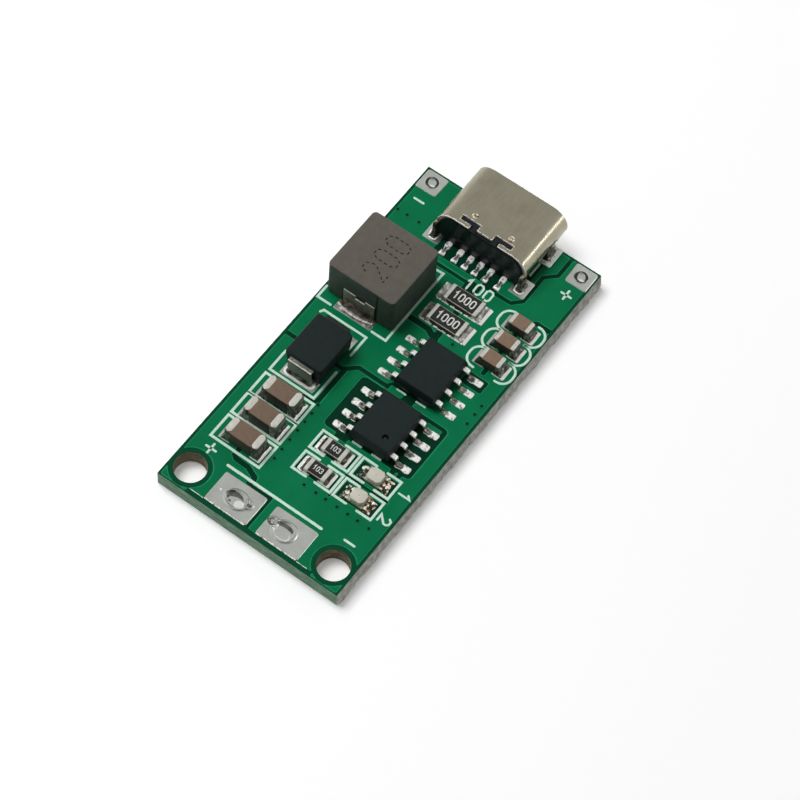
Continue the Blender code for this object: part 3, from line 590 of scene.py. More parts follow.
def pressed_block():
    """Pressed iron powder: the flat top is a warm grey from rubbing, and the sides below are darker
    and greener as painted shade and a painted reflection of the green board.
    """
    sheet = Finish("pressed_iron", 0, 0.25)
    broad, fine = sheet.noise(1400, 2), sheet.noise(9000, 4)
    blend = sheet.blend(broad, fine, 0.35)
    top, side = sheet.shades(blend, TOP_IRON, 0.86, 1.14), sheet.shades(blend, SHADED_SIDE_IRON, 0.7, 1.4)
    level = CORNER[2] + extent("inductor_core")[1][2]
    # Mix from the dark sides, painted shade, up to the lighter top.
    rubbed_and_lit_top = sheet.reach(sheet.along("Z"), 0.0, 1.0, (level - 0.09) * MM, (level - 0.03) * MM)
    return sheet.done(sheet.mixed(rubbed_and_lit_top, side, top), sheet.reach(broad, 0.62, 0.8), fine, 0.012)


mask = mask_over_copper()
board_finish = bare_board()
pressed_iron = pressed_block()
plated_sheet = drawn_metal("plated_shell_sheet", (0.36, 0.335, 0.25), 0.22, (1, 0.12, 1))
contact_metal = drawn_metal("tinned_contact", (0.74, 0.73, 0.68), 0.28, (0.3, 0.05, 1))

STRAP = {"patch": 2200, "grain": 6000, "vary": 0.35, "depth": 0.006}
FIRED = {"specular": 0.3, "patch": 2500, "grain": 12000}
legend = finish("legend_ink", (0.60, 0.80, 0.68), 0.6, 0, 0.5, 1500, 14000, 0.12, 0.005)
tin = finish("tinned_copper", (0.60, 0.625, 0.58), 0.34, 1.0, grain=5000, vary=0.12)
shaded_tin = finish("shaded_tin", (0.15, 0.15, 0.14), 0.3, 0.8, patch=1500, grain=5000, vary=0.3)
# Near-white solder: a painted highlight.
highlit_solder = finish("highlit_solder", (0.92, 0.92, 0.88), 0.22, 0.7, 0.5, 1500, 2500, 0.08, 0.008)
# Pale metal along cut edges, bends and lips: painted highlights.
edge_highlight = finish("painted_edge_highlight", (0.86, 0.80, 0.72), 0.4, 0.25)
moulding = finish("black_moulding", (0.004, 0.008, 0.010), 0.36, 0, 0.28, 1800, 4000, depth=0.008)
epoxy = finish("black_epoxy_moulding", (0.010, 0.0165, 0.0165), 0.5, 0, 0.2, 1800, 15000, 0.2)
shiny_epoxy = finish("shiny_epoxy", (0.003, 0.004, 0.005), 0.18, depth=0.001)
pressed_mark = finish("pressed_mark", (0.03, 0.028, 0.024), 0.8, specular=0.2)
# Dark grey-green terminal tin: painted shade and a painted reflection of the green board.
greenish_shaded_strap = finish("greenish_shaded_tinned_strap", (0.20, 0.215, 0.175), 0.42, 0.6, **STRAP)
# Near-black terminal tin: painted shade.
deep_shade_strap = finish("deep_shade_strap", (0.035, 0.04, 0.035), 0.5, 0.5, **STRAP)
# Near-white lead tin for the shoulders: a painted highlight.
highlit_lead = finish("highlit_tinned_lead", (0.90, 0.90, 0.86), 0.27, 0.6, 0.5, 2500, 7000, 0.1, 0.005)
end_metal = finish("plated_chip_end", (0.68, 0.67, 0.60), 0.34, 0.6, patch=2500, depth=0.006)
brown_ceramic = finish("capacitor_ceramic", (0.170, 0.118, 0.085), 0.5, **FIRED)
# Dark sides of the chip capacitors and resistors: painted shade.
shaded_side_ceramic = finish("shaded_chip_side", (0.055, 0.045, 0.034), 0.55, vary=0.25, **FIRED)
light_brown = finish("light_capacitor_ceramic", (0.22, 0.150, 0.103), 0.5, **FIRED)
glaze = finish("resistor_glaze", (0.010, 0.011, 0.012), 0.3, specular=0.4, vary=0.25, depth=0.003)
pale_ceramic = finish("pale_ceramic", (0.50, 0.47, 0.40), 0.65, specular=0.3, vary=0.12, grain=12000)
number_ink = finish("number_ink", (0.70, 0.71, 0.66), 0.6, specular=0.3, vary=0.12)
cream_lens = finish("cream_lens", (0.60, 0.58, 0.49), 0.5, 0, 0.35, patch=2000, grain=12000, vary=0.08)
light_laminate = finish("light_base_laminate", (0.42, 0.40, 0.30), 0.6, specular=0.3, vary=0.15)
# Near-black of the via pits and of the hollows beside the inductor's terminals: painted shade.
shadow_hole = finish("shadow_via", (0.0008, 0.008, 0.005), 0.6, specular=0.2)

snapped = flecked(
    "snapped_laminate", 0.9, 0, 1900, 0.02,
    (0.32, 0.40, 0.40, 0.36), (0.46, 0.53, 0.53, 0.48), (0.64, 0.68, 0.68, 0.62),
)
# White solder: painted glare.
glare_solder = flecked(
    "glare_solder", 0.3, 0.25, 3000, 0.01,
    (0.34, 0.25, 0.24, 0.2), (0.42, 0.8, 0.81, 0.77), (0.54, 1, 1, 0.97),
)
# Mid-grey dull solder: partly painted shade, with white flecks as painted glints.
dull_shaded_solder = flecked(
    "dull_shaded_solder", 0.34, 0.75, 2600, 0.012,
    (0.34, 0.16, 0.15, 0.13), (0.5, 0.42, 0.40, 0.37), (0.6, 0.52, 0.50, 0.46), (0.68, 1, 1, 0.98),
)
# Dark solder: painted shade.
shaded_solder = flecked(
    "shaded_solder", 0.36, 0.7, 3200, 0.012,
    (0.36, 0.02, 0.02, 0.015), (0.52, 0.09, 0.085, 0.065), (0.64, 0.2, 0.19, 0.15), (0.72, 0.8, 0.8, 0.75),
)
# Olive solder: painted shade and a painted reflection of the board.
olive_shaded_solder = flecked(
    "olive_shaded_solder", 0.34, 0.8, 1800, 0.008,
    (0.36, 0.04, 0.036, 0.026), (0.52, 0.15, 0.135, 0.1), (0.68, 0.34, 0.32, 0.26),
)
# Flecked ends of the lights, gold and cream: white flecks are painted glints, dark flecks painted shade.
gold_flecks = flecked(
    "gold_flecks", 0.3, 0.6, 3200, 0.012,
    (0.44, 0.02, 0.02, 0.015), (0.5, 0.3, 0.18, 0.08), (0.55, 0.75, 0.6, 0.4), (0.59, 1, 0.98, 0.92),
)
cream_flecks = flecked(
    "cream_flecks", 0.4, 0.2, 3000, 0.012,
    (0.46, 0.006, 0.014, 0.01), (0.53, 0.4, 0.4, 0.3), (0.6, 0.9, 0.9, 0.78),
)
# Flecked ring round each dimple of the shell: a painted highlight.
gold_edge = flecked(
    "gold_edge", 0.3, 0.5, 3500, 0.006,
    (0.4, 0.12, 0.09, 0.05), (0.5, 0.75, 0.62, 0.4), (0.6, 1, 0.97, 0.88),
)
# Dark brown leg metal with light flecks.
leg_metal = flecked(
    "dark_flecked_leg", 0.35, 0.6, 2200, 0.012,
    (0.4, 0.02, 0.018, 0.012), (0.52, 0.10, 0.085, 0.06), (0.66, 0.45, 0.4, 0.3),
)
# Darker lead tin for the slopes and feet: painted shade, with white flecks as painted glints.
shaded_lead = flecked(
    "shaded_lead", 0.3, 0.8, 3000, 0.012,
    (0.36, 0.05, 0.06, 0.045), (0.5, 0.25, 0.24, 0.2), (0.62, 0.6, 0.58, 0.5), (0.7, 1, 1, 0.9),
)
# Dark cap metal: painted shade on the capacitors' ends, with white flecks as painted glints.
shaded_end = flecked(
    "shaded_chip_end", 0.4, 0.7, 2600, 0.012,
    (0.36, 0.05, 0.05, 0.042), (0.52, 0.15, 0.15, 0.125), (0.66, 0.3, 0.3, 0.26), (0.76, 0.8, 0.8, 0.75),
)


# Board: copper pour under the mask, as a height over the board that sinks into it at every gap


def from_box(x, y, x_low, x_high, y_low, y_high, corner=0.0):
    """Distance outside a rectangle with round corners, negative inside."""
    across = np.abs(x - (x_low + x_high) / 2) - (x_high - x_low) / 2 + corner
    along = np.abs(y - (y_low + y_high) / 2) - (y_high - y_low) / 2 + corner
    outside = np.hypot(np.maximum(across, 0), np.maximum(along, 0))
    return outside + np.minimum(np.maximum(across, along), 0) - corner


def from_path(x, y, path, width):
    """Distance outside a band along a path, negative inside."""
    nearest = np.full(x.shape, np.inf)
    for (ax, ay), (bx, by) in zip(path[:-1], path[1:]):
        length = (bx - ax) ** 2 + (by - ay) ** 2
        share = np.clip(((x - ax) * (bx - ax) + (y - ay) * (by - ay)) / length, 0, 1)
        nearest = np.minimum(nearest, np.hypot(x - ax - share * (bx - ax), y - ay - share * (by - ay)))
    return nearest - width / 2


RIM = (0.26, 17.22, 0.47, 36.3, 0.2)
GAP_BOXES = (
    (5.0, 11.6, 29.9, 33.0, 0.2), (9.0, 10.4, 28.4, 29.6, 0.1), (12.3, 13.2, 32.3, 34.4, 0.1),
    (7.6, 16.05, 11.45, 16.95, 0.4), (14.0, 16.0, 21.25, 22.5, 0.15), (8.15, 8.55, -1.0, 3.75, 0.05),
    (6.0, 8.3, 3.45, 3.72, 0.1), (8.2, 11.6, 6.95, 8.45, 0.1), (8.2, 11.6, 9.25, 10.75, 0.1),
    (12.2, 15.6, 6.95, 8.45, 0.1), (12.2, 15.6, 9.25, 10.75, 0.1), (14.35, 14.8, 10.9, 11.7, 0.1),
    (15.05, 15.4, 10.9, 11.7, 0.1), (8.95, 10.1, 11.1, 11.7, 0.1), (11.25, 12.35, 16.8, 17.6, 0.1),
    (4.35, 8.15, 0.6, 3.3, 0.1), (9.35, 13.15, 0.6, 3.3, 0.1), (0.3, 2.1, 34.4, 36.2, 0.1),
    (15.4, 17.2, 34.4, 36.2, 0.1),
)
GAP_PATHS = (
    (((5.7, 29.17), (9.2, 29.17)), 0.35),
    (((14.7, 36.6), (14.7, 34.3), (13.8, 33.4), (13.8, 30.5), (13.1, 29.75), (10.3, 29.7)), 0.35),
    (((17.8, 29.45), (15.9, 29.45), (15.1, 28.7), (15.1, 23.0)), 0.42),
    (((10.1, 28.4), (10.1, 23.4)), 0.6),
    (((6.9, 23.65), (9.2, 23.65), (10.2, 23.1)), 0.55),
    (((-0.6, 16.4), (5.9, 16.4), (6.9, 17.3), (9.7, 17.3)), 0.4),
    (
        ((6.1, 16.3), (6.1, 12.7), (3.8, 12.2), (3.8, 5.0), (4.1, 4.76), (5.3, 4.72), (6.3, 4.3), (6.5, 3.5)),
        0.46,
    ),
    (((6.5, 3.52), (8.3, 3.52)), 0.28),
    (((9.7, 17.3), (10.1, 17.85), (12.5, 17.6)), 0.5),
    (((11.85, 6.6), (11.85, 8.85), (15.8, 8.85)), 0.24),
    (((3.7, 28.3), (3.7, 22.4)), 1.2),
)
COPPER_ISLANDS = (
    (14.8, 17.3, 0.12, 1.4, 0.15), (0.2, 2.7, 0.12, 1.4, 0.15), (5.9, 9.0, 29.4, 29.9, 0.05),
    (14.2, 15.6, 16.2, 16.6, 0.1), (9.9, 11.2, 17.1, 17.6, 0.1), (9.5, 10.4, 8.75, 8.95, 0.05),
)
UNDER_RIM = (0.25, BOARD_X - 0.25, 0.45, BOARD_Y - 0.25, 0.3)
UNDER_GAPS = (
    (((8.75, -1.0), (8.75, 4.2), (6.6, 6.4), (6.6, 13.0)), 0.4),
    (((14.6, 37.0), (14.6, 24.2), (17.9, 24.2)), 0.4),
    (((3.0, 37.0), (3.0, 33.4), (-0.6, 33.4)), 0.35),
)


def make_pour(name, margin, step, level, up, soft, rim, boxes, paths, islands):
    """Mask over the copper: a smooth step, 3 s^2 - 2 s^3, of the distance from the gaps, over a grid
    of x and y. Cells that lie wholly inside the board are left out."""
    x, y = np.meshgrid(spaced(margin, BOARD_X - margin, step), spaced(margin, BOARD_Y - margin, step))
    clear = -from_box(x, y, *rim)
    for outline in boxes:
        clear = np.minimum(clear, from_box(x, y, *outline))
    for path, width in paths:
        clear = np.minimum(clear, from_path(x, y, path, width))
    for outline in islands:
        clear = np.maximum(clear, -from_box(x, y, *outline))
    for centre_x, centre_y in MOUNT_HOLES:
        clear = np.minimum(clear, np.hypot(x - centre_x, y - centre_y) - MOUNT_CLEARANCE)
    share = np.clip(clear / soft + 0.4, 0, 1)
    z = -POUR_DEEP + (POUR_HEIGHT + POUR_DEEP) * share * share * (3 - 2 * share)
    faces = lattice(*x.shape)
    faces = faces[z.ravel()[faces].max(1) > -POUR_DEEP * 0.9]
    sheet = spread(x, y, level + up * z).reshape(-1, 3), [faces if up > 0 else faces[:, ::-1]], 0
    piece(name, [sheet], [mask], is_sheet=True)


board = bpy.data.objects["board"].data
board.materials.clear()
board.materials.append(board_finish)
make_pour("copper_pour", 0.03, 0.1, 0, 1, 0.12, RIM, GAP_BOXES, GAP_PATHS, COPPER_ISLANDS)
make_pour("under_pour", 0.05, 0.2, -BOARD_Z, -1, 0.2, UNDER_RIM, (), UNDER_GAPS, ())


# Printed legend

PRINT = (0.0, 0.055)
SIGNS = (
    ("+", 2.0, 4.25, 1.15, 0.2, 0), ("-", 15.6, 4.2, 1.15, 0.2, 0), ("-", 1.35, 33.2, 1.15, 0.2, 180),
    ("+", 16.25, 33.15, 1.15, 0.2, 180), ("100", 10.3, 29.15, 1.0, 0.18, 0),
    ("1", 16.6, 10.1, 1.0, 0.18, -90), ("2", 16.6, 7.45, 1.0, 0.18, -90),
)


def make_legend():
    """White lines and signs printed on the mask."""
    lines = [
        (((6.3, 28.6), (7.1, 28.65), (7.1, 20.6), (5.75, 20.6)), 0.25),
        (((0.25, 21.85), (0.25, 20.6), (1.55, 20.6)), 0.25),
        (((0.25, 27.7), (0.25, 28.65), (1.3, 28.65)), 0.25),
        (((1.3, 19.6), (1.45, 19.88), (5.7, 19.88), (5.7, 17.8)), 0.25),
        (((5.7, 15.8), (5.7, 12.8), (1.3, 12.8), (1.3, 14.9)), 0.25),
        (((4.0, 3.87), (13.1, 3.87)), 0.28),
        (((12.83, 32.9), (12.83, 34.3)), 0.18),
    ]
    for y in (17.55, 11.56):
        lines += [(((x, y), (end, y)), 0.2) for x, end in ((10.5, 11.3), (12.4, 13.2))]
    for columns in (((8.05, 9.4), (11.75, 10.3)), ((12.05, 13.3), (15.7, 14.4))):
        for low, high in ((9.1, 10.95), (6.8, 8.65)):
            lines += [(((inner, high), (x, high), (x, low), (inner, low)), 0.25) for x, inner in columns]
    for y in (28.22, 26.1, 23.98):
        lines += [(half_round(x, y, side, 0.92, 0.12, 0.12), 0.24) for x, side in ((13.99, -1), (16.36, 1))]
    bodies = [stroke(path, width, *PRINT, -0.02) for path, width in lines]
    for low, high in ((10.15, 12.35), (7.85, 10.05), (5.18, 7.5)):
        around = ((1.25, low), (6.05, low), (6.05, high), (1.25, high))
        bodies.append(stroke(around, 0.26, *PRINT, -0.02, closed=True))
    for text, x, y, height, width, turn in SIGNS:
        bodies += lettering(text, (x, y), height, width, turn, *PRINT)
    piece("printed_legend", bodies, [legend])


# Vias

VIAS = (
    (0.45, 31.47), (1.4, 31.47), (2.6, 31.47), (11.6, 23.63), (16.75, 20.41), (16.75, 19.46), (16.75, 18.4),
    (6.35, 12.52), (6.42, 11.61), (6.43, 10.66), (6.43, 9.7), (6.45, 8.65), (6.47, 7.59), (6.5, 6.59),
    (9.75, 6.13), (10.9, 6.13), (11.85, 6.13), (12.95, 6.13), (14.0, 6.13), (14.95, 6.13), (16.05, 6.13),
)
VIA_RING = ((0.26, 0.0), (0.24, 0.045), (0.19, 0.06), (0.14, 0.055), (0.12, 0.02))
VIA_PIT = ((0.13, 0.0), (0.125, 0.043), (0.02, 0.04))


def make_vias():
    """Small plated holes: a low ring of mask round a hollow painted near-black as shade, on both sides of the
    board.
    """
    bodies = []
    for x, y in VIAS:
        for level, up, segments in ((0, 1, 16), (-BOARD_Z, -1, 12)):
            for mark, profile in enumerate((VIA_RING, VIA_PIT)):
                bodies.append(turned(x, y, [(r, level + up * z) for r, z in profile], segments, mark))
    piece("vias", bodies, [mask, shadow_hole])


def make_snapped_edge():
    """Broken glass cloth down the right side: at each y the profile stands out by its share of a sum
    of sines."""
    y = spaced(0.03, BOARD_Y - 0.03, 0.1)[:, None]
    level = np.array((-0.06, -0.06, -0.4, -0.85, -1.25, -1.57, -1.57))
    out = np.array((-0.2, 0.005, 0.09, 0.2, 0.24, 0.2, -0.2))
    ragged = 0.85 + 0.15 * np.sin(1.7 * y) + 0.12 * np.sin(4.3 * y + level)
    ragged = ragged + 0.1 * np.sin(9.1 * y + 3 * level) + 0.08 * np.sin(21 * y)
    rings = spread(BOARD_X + np.where(out > 0, out * ragged, out), y, level)
    piece("snapped_edge", [loft(rings)], [snapped], crease=60)


make_legend()
make_vias()
make_snapped_edge()


# Tinned wire pads: a pillow of solder with a filled hole in it


def pad_height(x, y, outline, craters, thick):
    """Edge: thick * sqrt(1 - (1 - d / r)^2) of the distance d inside. Each crater adds a rim, a bell of
    the distance from its oval ring, and takes away a dish, 3 s^2 - 2 s^3 of the way in from its wall."""
    inside = np.clip(-from_box(x, y, *outline, 0.25) / 0.14, -1, 1)
    z = np.where(inside > 0, thick * np.sqrt(np.clip(1 - (1 - inside) ** 2, 0, 1)), inside * 0.1)
    for centre_x, centre_y, wide, deep_y, rim, depth in craters:
        radius = min(wide, deep_y)
        away = np.hypot((x - centre_x) / wide, (y - centre_y) / deep_y) * radius
        z = z + rim * np.exp(-(((away - radius) / 0.09) ** 2)) * (inside > 0)
        dish = np.clip((radius - 0.05 - away) / 0.25, 0, 1)
        z = z - depth * dish * dish * (3 - 2 * dish)
    ripple = np.sin(x * 2.3 + 0.7) * np.sin(y * 1.9 + 0.3) + 0.5 * np.sin(x * 5.1 + y * 3.7)
    return np.where(inside > 0.6, np.maximum(z, 0.042), z) + 0.006 * ripple * (inside > 0)


PAD_THICK = 0.09
PAD_STEP = 0.04


def make_pad(node, craters, patches):
    """Solder over a pad and through its hole. Each patch, one oval less another, is painted shade or a
    painted highlight.
    """
    low, high = extent(node)
    x, y = np.meshgrid(spaced(low[0], high[0], PAD_STEP), spaced(low[1], high[1], PAD_STEP))
    z = pad_height(x, y, (low[0], high[0], low[1], high[1]), craters, PAD_THICK)
    points, faces = spread(x, y, z).reshape(-1, 3), lattice(*x.shape)
    across, along = points[faces].mean(1)[:, :2].T
    ragged = 1 + 0.02 * np.sin(across * 9) + 0.02 * np.sin(along * 11)
    mark = np.zeros(len(faces), int)
    for tone, *ovals in patches:
        shares = [np.hypot((across - cx) / rx, (along - cy) / ry) for cx, cy, rx, ry in ovals]
        is_in = shares[0] < ragged
        if len(shares) > 1:
            is_in &= shares[1] > ragged
        mark[is_in] = tone
    bodies = [(points, [faces[mark == tone]], tone) for tone in (0, 1, 2, 4)]
    # White rods along the battery pad's front edge and the pour's edge beside it are painted glints.
    if "battery" in node:
        bodies.append(rod(low[0] + 0.1, high[0] - 0.12, low[1] + 0.02, 0.06, 0.11, 0.02, 3))
        start, end = (low[0] - 1.35, low[0]) if "positive" in node else (high[0], high[0] + 1.0)
        bodies.append(rod(start, end, low[1] - 0.02, 0.04, 0.06, 0.008, 3))
    under = spread(x, y, -BOARD_Z - np.minimum(z, 0.05)).reshape(-1, 3)
    bodies.append((under, [faces[:, ::-1]], 0))
    finishes = [tin, shaded_tin, highlit_solder, glare_solder, deep_shade_strap]
    piece(node + "_solder", bodies, finishes, [node], is_sheet=True, crease=60)


make_pad(
    "battery_pad_positive",
    ((6.4, 1.85, 1.02, 0.78, 0.13, 0.06), (7.42, 2.05, 0.36, 0.34, 0.1, 0.04)),
    (
        (1, (6.15, 1.95, 0.8, 0.48), (6.6, 1.6, 0.85, 0.5)), (2, (6.8, 1.6, 0.4, 0.38)),
        (1, (7.5, 2.02, 0.22, 0.16)), (2, (4.85, 1.85, 0.1, 0.1)), (1, (5.95, 1.5, 0.14, 0.1)),
    ),
)
make_pad(
    "battery_pad_negative",
    ((11.0, 1.9, 1.02, 0.88, 0.13, 0.06), (9.8, 2.05, 0.42, 0.42, 0.11, 0.05)),
    (
        (1, (10.9, 2.2, 0.75, 0.34), (10.9, 1.85, 1.0, 0.36)),
        (2, (10.95, 1.55, 0.8, 0.46), (10.95, 1.62, 0.68, 0.38)),
        (1, (9.72, 1.98, 0.36, 0.3), (9.85, 2.15, 0.3, 0.26)), (2, (11.6, 1.25, 0.1, 0.08)),
    ),
)
for node, x, y in (("input_pad_negative", 1.2, 35.3), ("input_pad_positive", 16.3, 35.3)):
    oval = (x, y, 0.58, 0.56)
    crescents = (4, oval, (x + 0.17, y + 0.13, 0.54, 0.54)), (4, oval, (x - 0.15, y - 0.11, 0.54, 0.54))
    make_pad(node, ((x, y, 0.5, 0.5, 0.1, 0.05),), (*crescents, (2, (x + 0.2, y - 0.26, 0.24, 0.14))))


# Socket

SHELL_LOW, SHELL_HIGH = extent("socket_shell")
SOCKET_X = (SHELL_LOW[0] + SHELL_HIGH[0]) / 2
SHELL_TOP = SHELL_HIGH[2]
SHELL_TALL = 3.2
SHELL_DEEP = 6.0
SHELL_BASE = SHELL_TOP - SHELL_TALL
SHELL_HALF = (SHELL_HIGH[0] - SHELL_LOW[0]) / 2
MOUTH = SHELL_HIGH[1]
REAR = MOUTH - SHELL_DEEP
SHELL_WALL = 0.3
SIDE_RADIUS = 1.6
FLAT_HALF = SHELL_HALF - SIDE_RADIUS
SHELL_MIDDLE = (SHELL_TOP + SHELL_BASE) / 2
LEGS = ((REAR - 0.2, 0.85), (REAR + 3.8, 1.1))
DIMPLES = ((6.93, 33.03), (10.56, 33.01))
DIMPLE_STEPS = np.linspace(-0.4, 0.4, 9)
CONTACTS = [f"socket_contact_{number}" for number in range(1, 7)]


def shell_section():
    """Outline (x, z) of the shell: two flats joined by half circles, with lines where it is cut."""
    marks = [-FLAT_HALF, -2.5, -1.42, -0.74, 0.74, 1.42, 2.5, FLAT_HALF]
    dense = [x - SOCKET_X + step for x, _ in DIMPLES for step in DIMPLE_STEPS]
    flat = np.array(sorted(set(marks + [round(v, 4) for v in dense])))
    angle = np.linspace(math.pi / 2, -math.pi / 2, 25)[1:-1]
    right = spread(FLAT_HALF + SIDE_RADIUS * np.cos(angle), SIDE_RADIUS * np.sin(angle))
    base = np.array([(x, -SIDE_RADIUS) for x in (FLAT_HALF, 1.4, 0, -1.4, -FLAT_HALF)])
    return np.concatenate((spread(flat, SIDE_RADIUS), right, base, -right)) + (SOCKET_X, SHELL_MIDDLE)


def make_shell():
    """Folded sheet: the section carried along y, less the faces in the notches and the leg windows."""
    section = shell_section()
    lines = [REAR, REAR + 0.24, REAR + 0.38, REAR + 0.85, MOUTH - 0.06, MOUTH]
    for middle, width in LEGS:
        lines += [max(REAR, middle - width / 2 - 0.3), middle + width / 2 + 0.3]
    lines += [DIMPLES[0][1] + step for step in DIMPLE_STEPS]
    y_line = np.array(sorted(set(round(float(v), 4) for v in lines)))
    x, y, z = np.broadcast_arrays(section[:, 0], y_line[:, None], section[:, 1])
    is_top = z > SHELL_TOP - 0.01
    for centre_x, centre_y in DIMPLES:
        away = np.hypot(x - centre_x, y - centre_y)
        z = z - np.where(is_top, 0.2 * np.exp(-((away / 0.16) ** 4)), 0)
    points, faces = spread(x, y, z).reshape(-1, 3), lattice(*x.shape, False, True)
    centre = points[faces].mean(1)
    off, along, level = np.abs(centre[:, 0] - SOCKET_X), centre[:, 1], centre[:, 2]
    on_top, on_base, at_rear = level > SHELL_TOP - 0.2, level < SHELL_BASE + 0.01, along < REAR + 0.85
    is_cut = on_top & (off > 0.74) & (off < 1.42) & at_rear
    is_cut |= on_top & (off > 0.74) & (off < 2.5) & (along > REAR + 0.38) & at_rear
    is_cut |= on_top & (off < 0.74) & (along < REAR + 0.24)
    is_cut |= on_base & at_rear
    for middle, width in LEGS:
        is_cut |= (level < SHELL_MIDDLE) & (off > FLAT_HALF) & (np.abs(along - middle) < width / 2 + 0.3)
    piece(
        # The wall's cut rim takes the second finish, a painted highlight.
        "socket_shell_sheet", [(points, [faces[~is_cut]], 0)], [plated_sheet, edge_highlight],
        ["socket_shell"], wall=SHELL_WALL, is_sheet=True, crease=40,
    )


def make_shell_edges():
    """Painted highlights: bright lines round the rear rim and the notches, and a flecked ring round each
    dimple.
    """
    angle = np.linspace(-0.25, math.pi / 2, 16)
    bend = spread(FLAT_HALF - 0.04 + SIDE_RADIUS * np.cos(angle), SIDE_RADIUS * np.sin(angle) - 0.03)
    back, over = REAR + 0.03, SHELL_TOP - 0.03
    notch = ((0.71, 0.26), (0.71, 0.88), (2.53, 0.88), (2.53, 0.35), (1.45, 0.35), (1.45, 0.02))
    edges = []
    for side in (-1, 1):
        rim = [(SOCKET_X + side * x, back, SHELL_MIDDLE + z) for x, z in bend]
        edges.append(bead([*rim, (SOCKET_X + side * 1.45, back, over)], 0.12, 0.012, 0, (0, 1, 0)))
        edges.append(bead([(SOCKET_X + side * x, REAR + y, over + 0.01) for x, y in notch], 0.075, 0.01))
    edges.append(rod(SOCKET_X - 0.76, SOCKET_X + 0.76, back + 0.24, over, 0.1, 0.012))
    ring = ((0.08, -0.08), (0.13, 0.02), (0.2, 0.1), (0.27, 0.07), (0.32, -0.02))
    edges += [turned(x, y, [(r, over + z) for r, z in ring], 20, 1) for x, y in DIMPLES]
    piece("shell_edges", edges, [edge_highlight, gold_edge])


def make_legs():
    """Four flat tabs from the shell's sides down through the board, with solder round each: white outside as
    painted glare, dark inside as painted shade.
    """
    tabs, blobs, lands = [], [], []
    for middle, width in LEGS:
        for side in (-1, 1):
            near, far = sorted((SOCKET_X + side * (SHELL_HALF - SHELL_WALL), SOCKET_X + side * SHELL_HALF))
            front, back = middle - width / 2, middle + width / 2
            tabs.append(block((near, front, SHELL_LOW[2]), (far, back, SHELL_MIDDLE + 0.25), 0.06))
            for low, high in ((-0.02, 0.06), (-BOARD_Z - 0.05, -BOARD_Z + 0.02)):
                land = inset((near, front, low), (far, back, high), -0.62, -0.5)
                lands.append(block(*land, 0.12, 0.04))
            outer = (near - 0.42, far + 0.42, front - 0.3, back + 0.3)
            tab = (near - 0.02, far + 0.02, front - 0.02, back + 0.02)
            blobs += solder(outer, tab, 0.34, 0.03, (2, 1), 0.5, 0.4, ragged=0.05)
    piece("socket_legs", tabs, [leg_metal])
    piece("leg_lands", lands, [tin])
    piece("leg_solder", blobs, [dull_shaded_solder, shaded_solder, glare_solder], crease=60)


def make_housing():
    """Black moulding: a block behind the shell with round upper corners, the plug inside and the tongue."""
    low, high = extent("socket_housing")
    top, base = high[2], low[2]
    half = SHELL_HALF - SHELL_WALL - 0.02
    rings = []
    for back, drawn in ((0.02, 0.0), (0.8, 0.0), (0.93, 0.03), (1.0, 0.12), (1.0, 0.2), (0.9, 0.26)):
        width = half - drawn
        section = rounded(SOCKET_X - width, SOCKET_X + width, base + drawn, top - drawn, 1.45 - drawn, 12)
        y = REAR - back * (0.1 + 0.28 * (top - section[:, 1]) / (top - base))
        rings.append(spread(section[:, 0], y, section[:, 1]))
    bodies = [loft(rings)]
    upright = SHELL_BASE + SHELL_WALL + 0.02, SHELL_TOP - SHELL_WALL - 0.02
    plug = rounded(SOCKET_X - half, SOCKET_X + half, *upright, 1.28, 12)
    tongue = rounded(SOCKET_X - 3.34, SOCKET_X + 3.34, SHELL_MIDDLE - 0.35, SHELL_MIDDLE + 0.35, 0.25)
    tip = rounded(SOCKET_X - 3.24, SOCKET_X + 3.24, SHELL_MIDDLE - 0.25, SHELL_MIDDLE + 0.25, 0.18)
    for levels in (
        ((plug, REAR - 0.05), (plug, REAR + 1.55)),
        ((tongue, REAR + 0.8), (tongue, high[1] - 0.12), (tip, high[1])),
    ):
        bodies.append(loft([spread(outline[:, 0], y, outline[:, 1]) for outline, y in levels]))
    bodies.append(block((SOCKET_X - 2.8, REAR - 0.3, base), (SOCKET_X + 2.8, REAR + 0.83, base + 1.2), 0.1))
    for side in (-1, 1):
        for end, start in ((2.43, 0.46), (1.28, -0.05)):
            near, far = sorted((SOCKET_X + side * 0.82, SOCKET_X + side * end))
            bodies.append(block((near, REAR + start, top - 1), (far, REAR + 0.78, top - 0.02), 0.03, 0.02))
    cuts = []
    for name in CONTACTS:
        x = sum(corner[0] for corner in extent(name)) / 2
        cuts.append(block((x - 0.24, REAR - 0.9, -0.1), (x + 0.24, REAR - 0.27, 0.95), 0.03, 0.01))
    groove = (SOCKET_X - 3.0, REAR - 0.9, top - 0.95), (SOCKET_X + 3.0, REAR - 0.2, top - 0.62)
    cuts.append(block(*groove, 0.03, 0.01))
    piece("socket_moulding", bodies, [moulding], ["socket_housing"], cuts=cuts)


CONTACT_THICK = 0.15
CONTACT_WIDE = 0.3
LAND_Y = np.array((30.01, 30.04, 30.12, 30.32, 30.5, 30.62, 30.74, 30.88, 30.98, 31.3, 31.6))[:, None]
LAND_HALF = np.array((0.27, 0.3, 0.3, 0.28, 0.19, 0.15, 0.18, 0.25, 0.28, 0.28, 0.26))[:, None]
LAND_RISE = np.array((0.08, 0.12, 0.15, 0.16, 0.16, 0.16, 0.16, 0.17, 0.18, 0.2, 0.2))[:, None]


